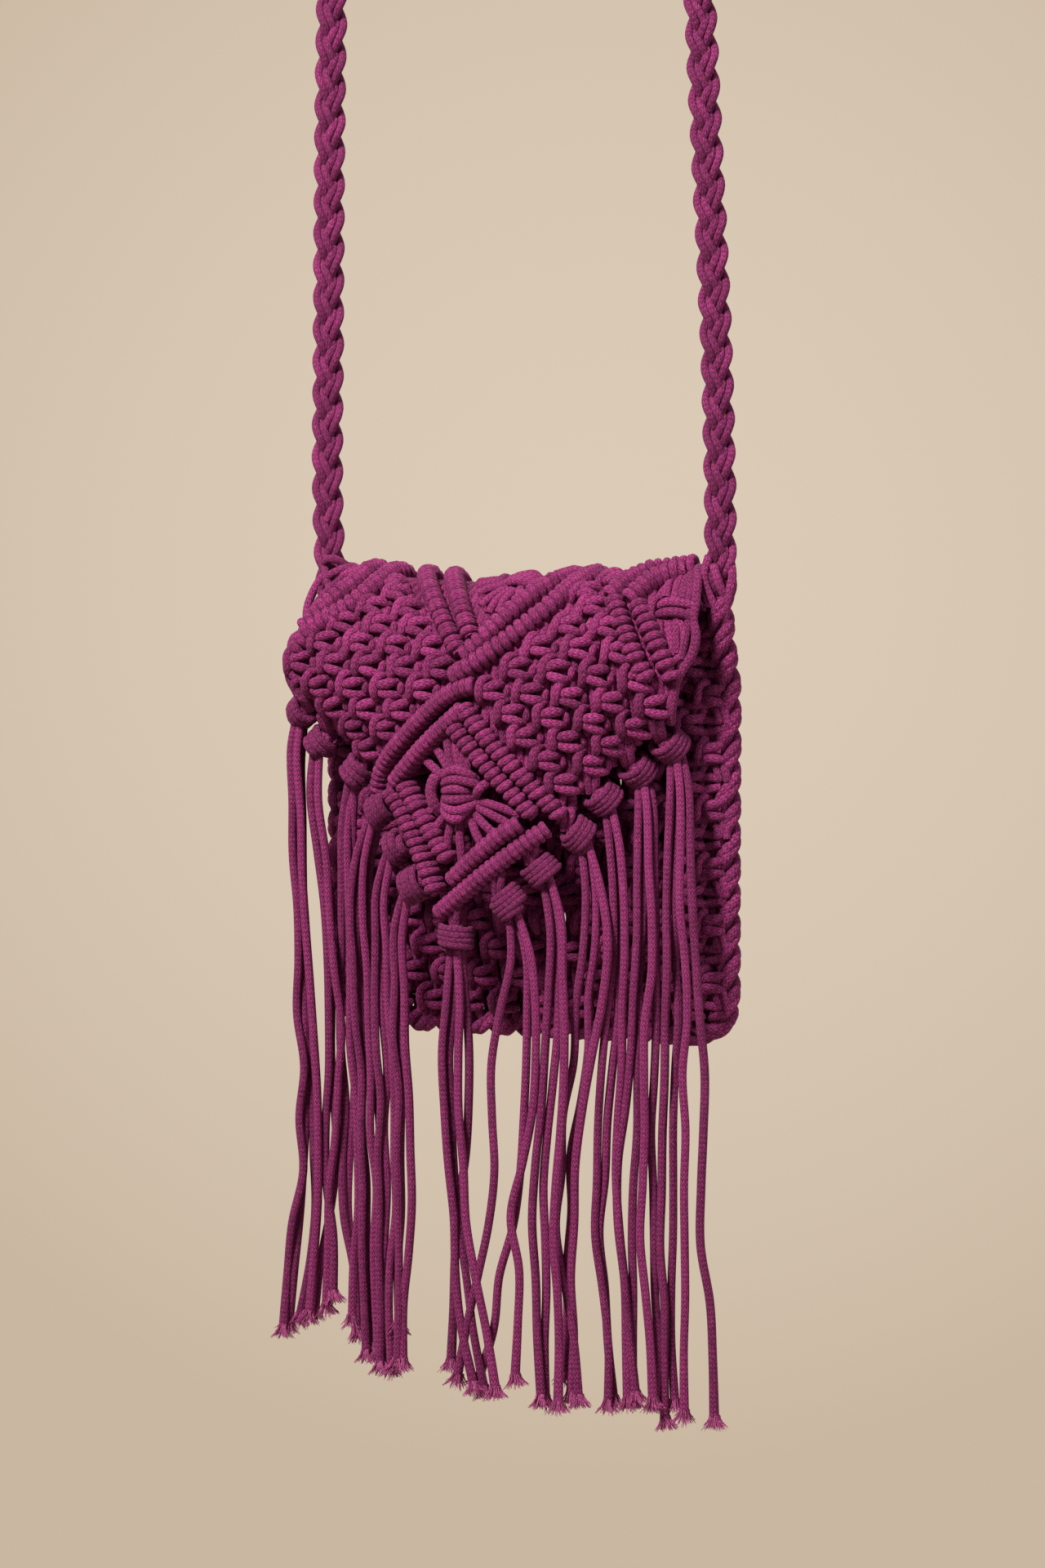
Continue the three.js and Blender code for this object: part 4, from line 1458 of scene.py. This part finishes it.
            cords.add(self.surface.at(line[:, 0], line[:, 1], np.array([0.8, 2.4, 2.2])), 2.1)
        return Piece(cords, ("berry_knot_upper",), "rib_cord")

    def _lower_berry(self) -> Piece:
        """Tie the large berry knot in the diamond and its fans.

        Returns:
            Its piece.
        """
        cords = Cordage("berry_knot_lower_cords", sides=9, spacing=1.6)
        knotting = Knotting(self.surface, cords, SEED + 6)
        centre = (-5.0, 124.5)
        for down, bow, end in (
            (-8.2, 2.6, 8.5), (-4.6, 1.6, 10.5), (-0.9, 0.7, 6.0), (2.9, -0.4, 6.5), (6.6, -1.6, 7.5),
            (10.0, -2.4, 5.0),
        ):
            bar: Stroke = (
                (-9.5, down * 0.6, 1.4, 1.8), (-6, down - bow * 0.2, 5.4, 2.2), (0, down - bow, 7.6, 2.35),
                (end - 2.5, down - bow * 0.1, 5.2, 2.2), (end, down + bow * 0.8, 1.6, 1.7),
            )
            knotting.stroke(centre, bar)
        for shift, out in ((0.0, 5.4), (-3.6, 2.6)):
            loop: Stroke = (
                (-8 + shift, -10, 1.0, 1.9), (-11.5 + shift, -6, out, 2.3), (-13 + shift, 0, out + 0.6, 2.4),
                (-12 + shift, 6, out, 2.3), (-9 + shift, 11, 0.8, 1.9),
            )
            knotting.stroke(centre, loop)
        stub: Stroke = (
            (8, 1.5, 2.0, 1.9), (11, -2.0, 5.2, 2.4), (14.5, -5.5, 3.0, 2.1), (16.5, -8, 0.6, 1.7),
        )
        knotting.stroke(centre, stub)
        fans = (
            ((-21, 102), (-15, 108), (-10, 116)), ((-14, 97), (-11, 106), (-8, 115)),
            ((-8, 94), (-7, 104), (-5, 114)),
            ((-3, 96), (-3, 104), (-3, 114)), ((3, 102), (0, 108), (-1, 114)),
            ((-27, 109), (-20, 113), (-12, 119)),
            ((1, 128), (12, 130), (24, 134)), ((1, 130), (10, 134), (20, 139)),
            ((0, 132), (7, 139), (13, 144)),
            ((-1, 134), (3, 143), (7, 150)), ((-5, 135), (-5, 145), (-4, 157)),
            ((-9, 135), (-11, 144), (-12, 154)),
            ((-12, 133), (-17, 140), (-20, 147)), ((-16, 131), (-22, 134), (-28, 137)),
        )
        for path in fans:
            line = np.array(path, float)
            cords.add(self.surface.at(line[:, 0], line[:, 1], np.array([0.6, 2.6, 2.4])), 2.15)
        return Piece(cords, ("berry_knot_lower",), "rib_cord")


@dataclass(frozen=True)
class Camera:
    """The photograph's camera, in the bag's millimetres."""

    # How far it looks to the left and down, in degrees
    turn: float = 26.0
    pitch: float = 2.99
    distance: float = 1991.0
    side: float = -3.5
    height: float = -3.5
    lens: float = 95.0
    sensor: float = 36.0
    picture_width: float = 1280.0
    picture_height: float = 1920.0

    def heading(self) -> np.ndarray:
        """Level direction of the view."""
        angle = math.radians(self.turn)
        return np.array([-math.sin(angle), math.cos(angle), 0.0])

    def right(self) -> np.ndarray:
        """Direction to the right in the picture."""
        angle = math.radians(self.turn)
        return np.array([math.cos(angle), math.sin(angle), 0.0])

    def place(self) -> np.ndarray:
        """Where the camera stands."""
        return -self.heading() * self.distance + self.right() * self.side + np.array([0, 0, self.height])

    def side_at(self, column: float, y: float) -> float:
        """Find the x of an upright line that shows at a column of the picture.

        Args:
            column: picture column, of 1280.
            y: depth of the line.

        Returns:
            The x at that depth.
        """
        focal = self.lens / self.sensor * self.picture_height
        ray = self.heading() + self.right() * (column - self.picture_width / 2) / focal
        start = self.place()
        return float(start[0] + ray[0] * (y - start[1]) / ray[1])

    def build(self) -> None:
        """Put the camera in the scene."""
        data = bpy.data.cameras.new("photo_camera")
        data.lens, data.sensor_width, data.sensor_fit = self.lens, self.sensor, "AUTO"
        data.clip_start, data.clip_end = 0.05, 50.0
        camera = bpy.data.objects.new("photo_camera", data)
        bpy.context.scene.collection.objects.link(camera)
        camera.location = to_row(self.place())
        dip = math.radians(self.pitch)
        way = Vector((*(self.heading()[:2] * math.cos(dip)), -math.sin(dip)))
        camera.rotation_mode = "QUATERNION"
        camera.rotation_quaternion = way.to_track_quat("-Z", "Y")
        bpy.context.scene.camera = camera


@dataclass(frozen=True)
class Hang:
    """One fringe cord: depth, and picture columns at four heights down to its end."""

    y: float
    columns: tuple[float, float, float, float]
    end_z: float


@dataclass(frozen=True)
class Fringe:
    """Wrap knots along the hem and the cords that hang from them."""

    surface: FlapSurface
    camera: Camera
    hem: tuple[tuple[float, float, bool], ...]
    knot_length: float = 14.2
    coil_radius: float = 6.9
    # The wrap knots left of the hem's point are smaller and hold fewer turns
    left_knots: int = 5
    left_size: float = 0.86
    left_turns: float = 2.9
    left_cord: float = 2.15
    # They lie flat in the hem and don't follow the flap's curl inwards
    left_lean: float = -0.1
    left_edge: float = -90.0
    coil_cord: float = 1.8
    turns: float = 4.3
    # Points of a coil's line
    coil_points: int = 60
    cord: float = 2.08
    # Width of the row of cords in a knot's mouth, and how far every second one stands forward
    mouth_width: float = 8.5
    stagger: float = 1.8
    heights: tuple[float, float, float] = (-175.0, -236.0, -300.0)
    # Cords of each wrap knot, from left to right. Columns are at the three heights and at the end.
    hangs: tuple[tuple[Hang, ...], ...] = (
        (
            Hang(-42, (362, 364, 366, 345), -379),
            Hang(-38, (369, 372, 372, 352), -377),
            Hang(-43, (376, 381, 388, 377), -371),
            Hang(-36, (373, 378, 380, 366), -374),
        ),
        (
            Hang(-39, (397, 403, 398, 406), -361),
            Hang(-35, (402, 408, 410, 384), -370),
            Hang(-40, (408, 415, 405, 398), -367),
        ),
        (
            Hang(-35, (418, 421, 418, 435), -378),
            Hang(-37, (426, 428, 436, 430), -372),
            Hang(-32, (432, 434, 424, 440), -380),
        ),
        (
            Hang(-44, (428, 437, 440, 447), -387),
            Hang(-40, (436, 444, 447, 453), -384),
            Hang(-44, (444, 452, 455, 462), -386),
            Hang(-39, (450, 456, 462, 458), -380),
        ),
        (
            Hang(-49, (459, 463, 464, 464), -391),
            Hang(-45, (466, 471, 472, 470), -388),
            Hang(-49, (472, 479, 484, 478), -392),
        ),
        (
            Hang(-52, (482, 484, 488, 486), -388),
            Hang(-48, (488, 491, 489, 488), -371),
            Hang(-51, (497, 498, 503, 492), -388),
        ),
        (
            Hang(-57, (545, 541, 552, 579), -395),
            Hang(-53, (557, 550, 560, 592), -397),
            Hang(-57, (572, 561, 568, 606), -396),
            Hang(-52, (570, 574, 563, 552), -386),
        ),
        (
            Hang(-56, (620, 603, 605, 560), -392),
            Hang(-50, (654, 645, 634, 586), -394),
            Hang(-54, (666, 658, 632, 631), -390),
        ),
        (
            Hang(-52, (682, 668, 654, 663), -399),
            Hang(-48, (690, 680, 667, 668), -400),
            Hang(-52, (700, 690, 681, 684), -401),
        ),
        (
            Hang(-45, (716, 702, 682, 709), -399),
            Hang(-41, (730, 716, 699, 692), -389),
            Hang(-45, (745, 726, 698, 700), -398),
        ),
        (
            Hang(-40, (752, 738, 732, 746), -401),
            Hang(-36, (760, 748, 740, 752), -400),
            Hang(-40, (766, 757, 757, 770), -399),
        ),
        (
            Hang(-39, (780, 771, 760, 779), -396),
            Hang(-35, (788, 781, 778, 776), -399),
            Hang(-39, (797, 790, 788, 801), -398),
            Hang(-34, (804, 800, 803, 806), -400),
        ),
        (
            Hang(-33, (816, 814, 812, 816), -408),
            Hang(-29, (828, 828, 823, 828), -400),
            Hang(-33, (836, 842, 838, 840), -404),
            Hang(-30, (851, 864, 861, 877), -406),
        ),
    )

    def _seats(self) -> list[tuple[np.ndarray, np.ndarray]]:
        """Seat each wrap knot on the hem.

        Returns:
            Foot and direction of each one, from left to right.
        """
        seats = []
        for at, (s, t, knot) in enumerate(self.hem):
            if not knot:
                continue
            before, after = np.array(self.hem[at - 1][:2]), np.array(self.hem[at + 1][:2])
            along = unit(after - before)
            away = np.array([-along[1], along[0]])
            foot = self.surface.middle(s, t)
            way = unit(self.surface.middle(s + away[0], t + away[1]) - foot)
            if self.left_edge < s < 0:
                way[1] = min(way[1], self.left_lean)
            seats.append((foot, unit(way)))
        return seats

    def _wrap(self, number: int, foot: np.ndarray, way: np.ndarray) -> Piece:
        """Wind one wrap knot round the start of its cords.

        Args:
            number: its number from the left.
            foot: where it starts on the hem.
            way: the direction it points in.

        Returns:
            Its piece.
        """
        cords = Cordage(f"wrap_knot_{number:02d}_coils", sides=8, spacing=1.5)
        draw = np.random.default_rng(SEED + 40 + number)
        flank = unit(np.cross(way, np.array([0.0, 1.0, 0.0])))
        front = np.cross(flank, way)
        left = number <= self.left_knots
        turns, cord = (self.left_turns, self.left_cord) if left else (self.turns, self.coil_cord)
        angle = np.linspace(0, 2 * math.pi * turns, self.coil_points) + draw.uniform(0, 6)
        share = np.linspace(0, 1, self.coil_points)
        size = self.left_size if left else 1.0
        uneven = draw.normal(0, 0.12, self.coil_points)
        swell = self.coil_radius * size + 0.3 * np.sin(math.pi * share) + uneven
        # Both ends of the coil tuck in under its turns
        swell[:3] -= (2.0, 1.2, 0.5)
        swell[-3:] -= (0.5, 1.2, 2.0)
        tilt = draw.uniform(0.5, 1.3) * np.cos(angle + draw.uniform(0.4, 1.6))
        height = 1.9 + share * (self.knot_length - 3.8) + tilt
        ring = flank * np.cos(angle)[:, None] + front * np.sin(angle)[:, None]
        cords.add(foot + ring * swell[:, None] + way * height[:, None], cord)
        cords.add(foot + way * np.array([[1.6], [4.0], [8.0], [12.0]]), np.array([3.6, 5.4, 5.4, 3.6]) * size)
        return Piece(cords, (f"wrap_knot_{number:02d}",), "fringe_cord")

    def _tassel(self, number: int, foot: np.ndarray, way: np.ndarray, hangs: tuple[Hang, ...]) -> Piece:
        """Hang the cords of one wrap knot.

        Args:
            number: its number from the left.
            foot: where the knot starts on the hem.
            way: the direction the knot points in.
            hangs: the cords, from left to right.

        Returns:
            Their piece.
        """
        cords = Cordage(f"tassel_{number:02d}_cords", sides=8, spacing=3.0)
        draw = np.random.default_rng(SEED + 80 + number)
        flank = unit(np.cross(way, np.array([0.0, 1.0, 0.0])))
        flank = flank if flank[0] > 0 else -flank
        front = np.array([0.0, -1.0, 0.0])
        mouth = foot + way * self.knot_length
        for at, hang in enumerate(hangs):
            place = (at - (len(hangs) - 1) / 2) / len(hangs)
            forward = self.stagger if at % 2 == 0 else -self.stagger
            aside = flank * place * self.mouth_width + front * forward
            start = mouth - way * 4 + aside * 0.6
            turn = mouth + way * 2.6 + aside + np.array([0, 0, -2.5])
            columns = hang.columns
            low = [
                np.array([self.camera.side_at(c, hang.y), hang.y, z])
                for c, z in zip(columns, self.heights)
            ]
            end = np.array([self.camera.side_at(columns[3], hang.y), hang.y, hang.end_z])
            fall = turn + np.array([0, 0, -13]) + (low[0] - turn) * np.array([0.3, 0.6, 0])
            points = [start, mouth + aside * 0.8, turn, fall]
            if fall[2] > self.heights[0] + 18:
                points.append(low[0])
            points += [low[1], low[2]]
            middle = low[2] + (end - low[2]) * 0.5
            sway = np.array([draw.normal(0, 0.9), draw.normal(0, 0.6), 0])
            points += [middle + sway, end + np.array([0, 0, 6.5])]
            line = spline(points, 26.0)
            wave = draw.normal(0, 1, (len(line), 3)) * (0.95, 0.7, 0)
            wave[:3] = 0
            wave[-1] = 0
            line = line + wave
            # The cord opens a little at its cut end
            thick = np.full(len(line), self.cord)
            thick[-1] += 0.3
            cords.add(line, thick)
            cords.cut(
                line[-1] + np.array([0, 0, 0.6]),
                end - middle + np.array([draw.normal(0, 4), draw.normal(0, 4), 0]),
            )
        return Piece(cords, (f"tassel_{number:02d}",), "fringe_cord")

    def build(self) -> list[Piece]:
        """Wind the wrap knots and hang the fringe.

        Returns:
            A coil piece and a cord piece for each wrap knot.
        """
        made = []
        for number, ((foot, way), hangs) in enumerate(zip(self._seats(), self.hangs), start=1):
            made.append(self._wrap(number, foot, way))
            made.append(self._tassel(number, foot, way, hangs))
        return made


@dataclass(frozen=True)
class Softbox:
    """One round light: where it hangs, in metres from the bag's middle as the camera sees it."""

    name: str
    right: float
    back: float
    up: float
    power: float
    size: float
    # Angle of its beam in degrees, under 180 with a grid on it
    spread: float = 180.0
    # How far over the bag's middle it is aimed
    aim_up: float = 0.0


@dataclass(frozen=True)
class Studio:
    """Plain pale floor, a beige surround and soft light."""

    floor_z: float = -1.62
    floor_radius: float = 2.4
    # The floor is solid up to this distance from its middle and clears towards its rim
    floor_fade: float = 1.0
    floor_corners: int = 64
    middle_z: float = -0.6
    lights: tuple[Softbox, ...] = (
        Softbox("key_softbox", -0.85, 1.2, 1.4, power=15.5, size=0.46, spread=90.0, aim_up=0.1),
        Softbox("fill_softbox", 1.9, 1.0, 0.5, power=15.0, size=1.2),
        Softbox("rear_softbox", 0.6, -1.6, 0.9, power=16.0, size=1.2),
    )

    def build(self, camera: Camera) -> None:
        """Make the floor, the lights and the surround.

        Args:
            camera: the camera that the lights stand round.
        """
        self._floor()
        for box in self.lights:
            self._light(box, camera)
        self._surround(camera)

    def _floor(self) -> None:
        """Lay the round floor."""
        mesh = bpy.data.meshes.new("studio_floor")
        angles = np.linspace(0, 2 * math.pi, self.floor_corners, endpoint=False)
        ring = [
            (self.floor_radius * math.cos(a), self.floor_radius * math.sin(a), self.floor_z)
            for a in angles
        ]
        mesh.from_pydata(ring, [], [list(range(self.floor_corners))])
        floor = bpy.data.objects.new("studio_floor", mesh)
        bpy.context.scene.collection.objects.link(floor)
        paint, tree = new_material("matt_floor_paint")
        place = add_node(tree, "ShaderNodeTexCoord").outputs["Object"]
        flat = vector_node(tree, "MULTIPLY", place, (1.0, 1.0, 0.0))
        away = add_node(tree, "ShaderNodeVectorMath", {0: flat}, operation="LENGTH")
        share = add_node(
            tree, "ShaderNodeMapRange",
            {0: away.outputs["Value"], 1: self.floor_fade, 2: self.floor_radius * 0.97},
            interpolation_type="SMOOTHSTEP",
        )
        solid = add_node(
            tree, "ShaderNodeBsdfPrincipled",
            {"Base Color": linear(Backdrop.FLOOR.value), "Roughness": 0.95},
        )
        clear = add_node(tree, "ShaderNodeBsdfTransparent")
        both = add_node(
            tree, "ShaderNodeMixShader", {0: share.outputs[0], 1: solid.outputs[0], 2: clear.outputs[0]},
        )
        add_node(tree, "ShaderNodeOutputMaterial", {"Surface": both.outputs[0]})
        mesh.materials.append(paint)

    def _light(self, box: Softbox, camera: Camera) -> None:
        """Hang one softbox.

        Args:
            box: the softbox.
            camera: the camera that it stands round.
        """
        right, back, up = Vector(camera.right()), -Vector(camera.heading()), Vector((0, 0, 1))
        centre = Vector((0.0, 0.0, self.middle_z))
        place = centre + right * box.right + back * box.back + up * box.up
        target = centre + up * box.aim_up
        data = bpy.data.lights.new(box.name, "AREA")
        data.shape, data.size, data.energy = "DISK", box.size, box.power
        data.spread = math.radians(box.spread)
        data.color = linear(Backdrop.LAMP.value)[:3]
        lamp = bpy.data.objects.new(box.name, data)
        bpy.context.scene.collection.objects.link(lamp)
        lamp.location = place
        lamp.rotation_mode = "QUATERNION"
        lamp.rotation_quaternion = (target - place).to_track_quat("-Z", "Y")

    def _surround(self, camera: Camera) -> None:
        """Paint the surround beige with a painted pool of light, palest straight behind the bag and darker
        round it, and keep its own light low.

        Args:
            camera: the camera whose heading marks the palest place.
        """
        world = bpy.data.worlds.new("studio_surround")
        bpy.context.scene.world = world
        world.use_nodes = True
        tree = world.node_tree
        tree.nodes.clear()
        place = add_node(tree, "ShaderNodeTexCoord")
        heading = tuple(float(c) for c in camera.heading() + np.array([0.02, 0, 0.0]))
        facing = add_node(
            tree, "ShaderNodeVectorMath", {0: place.outputs["Generated"], 1: heading},
            operation="DOT_PRODUCT",
        )
        # The cosine of the angle from the heading, at the edge and in the middle of the painted pool of light
        share = range_node(tree, facing.outputs["Value"], 0.968, 0.999)
        colour = mix_node(tree, share, linear(Backdrop.AROUND_PAINTED_SHADE.value), linear(Backdrop.BEHIND_PAINTED_LIGHT.value))
        path = add_node(tree, "ShaderNodeLightPath")
        seen_with_painted_light = add_node(tree, "ShaderNodeBackground", {"Color": colour, "Strength": 1.0})
        glow = add_node(tree, "ShaderNodeBackground", {"Color": linear(Backdrop.GLOW.value), "Strength": 0.2})
        both = add_node(
            tree, "ShaderNodeMixShader",
            {0: path.outputs["Is Camera Ray"], 1: glow.outputs[0], 2: seen_with_painted_light.outputs[0]},
        )
        add_node(tree, "ShaderNodeOutputWorld", {"Surface": both.outputs[0]})
        bpy.context.scene.view_settings.view_transform = "Standard"


# Course of the hem, across and down, and whether a wrap knot is seated at the place
HEM = (
    (-101, 79, False), (-96, 87, True), (-88, 100, True), (-67.5, 112, True), (-58.5, 120, False),
    (-50, 131, True), (-38, 148, True), (-26.5, 166, True), (-17, 184, False), (-9, 186, True),
    (-2, 183, False), (13.5, 170, True), (28.5, 155, True), (44, 138, True), (49, 128, False),
    (54.5, 119.5, True), (70.5, 105, True), (86.5, 91.5, True), (96, 83, False),
)


def main() -> None:
    """Build every piece in order, dress it and tell the frame about it."""
    logging.basicConfig(level=logging.INFO, format="%(message)s")
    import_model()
    camera = Camera()
    camera.build()
    Studio().build(camera)
    trees = Trees()
    body = Body()
    flap_surface = FlapSurface(body)
    finishes = {
        "knotted_panel": KnittedCotton("knitted_cotton_cord_knotted").make(),
        "rib_cord": KnittedCotton("knitted_cotton_cord_hitched", uneven=0.1).make(),
        # The lacing's cord is drawn a little lighter, and the fringe's cord darker as painted shade
        "lacing_cord": KnittedCotton("knitted_cotton_cord_laced", tone_and_painted_shade=1.06).make(),
        "fringe_cord": KnittedCotton("knitted_cotton_cord_fringe_painted_shade", uneven=0.14, tone_and_painted_shade=0.9).make(),
        "strap_cord": KnittedCotton("knitted_cotton_cord_braided").make(),
    }
    fibre = LooseFibre().make()
    makers: tuple[Callable[[], list[Piece]], ...] = (
        Panels(body).build, Lacing(body).build, Strap().build, Flap(flap_surface, HEM).build,
        Fringe(flap_surface, camera, HEM).build,
    )
    for make in makers:
        for piece in make():
            shown = piece.cords.sweep(trees, finishes[piece.slot])
            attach(shown, "root")
            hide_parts(*piece.nodes)
            if piece.cords.cuts:
                frayed = piece.cords.fray(trees, fibre, CutEnd())
                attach(frayed, "root")
                LOG.info("%s: %d faces", frayed.name, len(frayed.data.polygons))
            LOG.info("%s: %d strands, %d faces", shown.name, len(piece.cords.lines), len(shown.data.polygons))


if __name__ == "__main__":
    main()
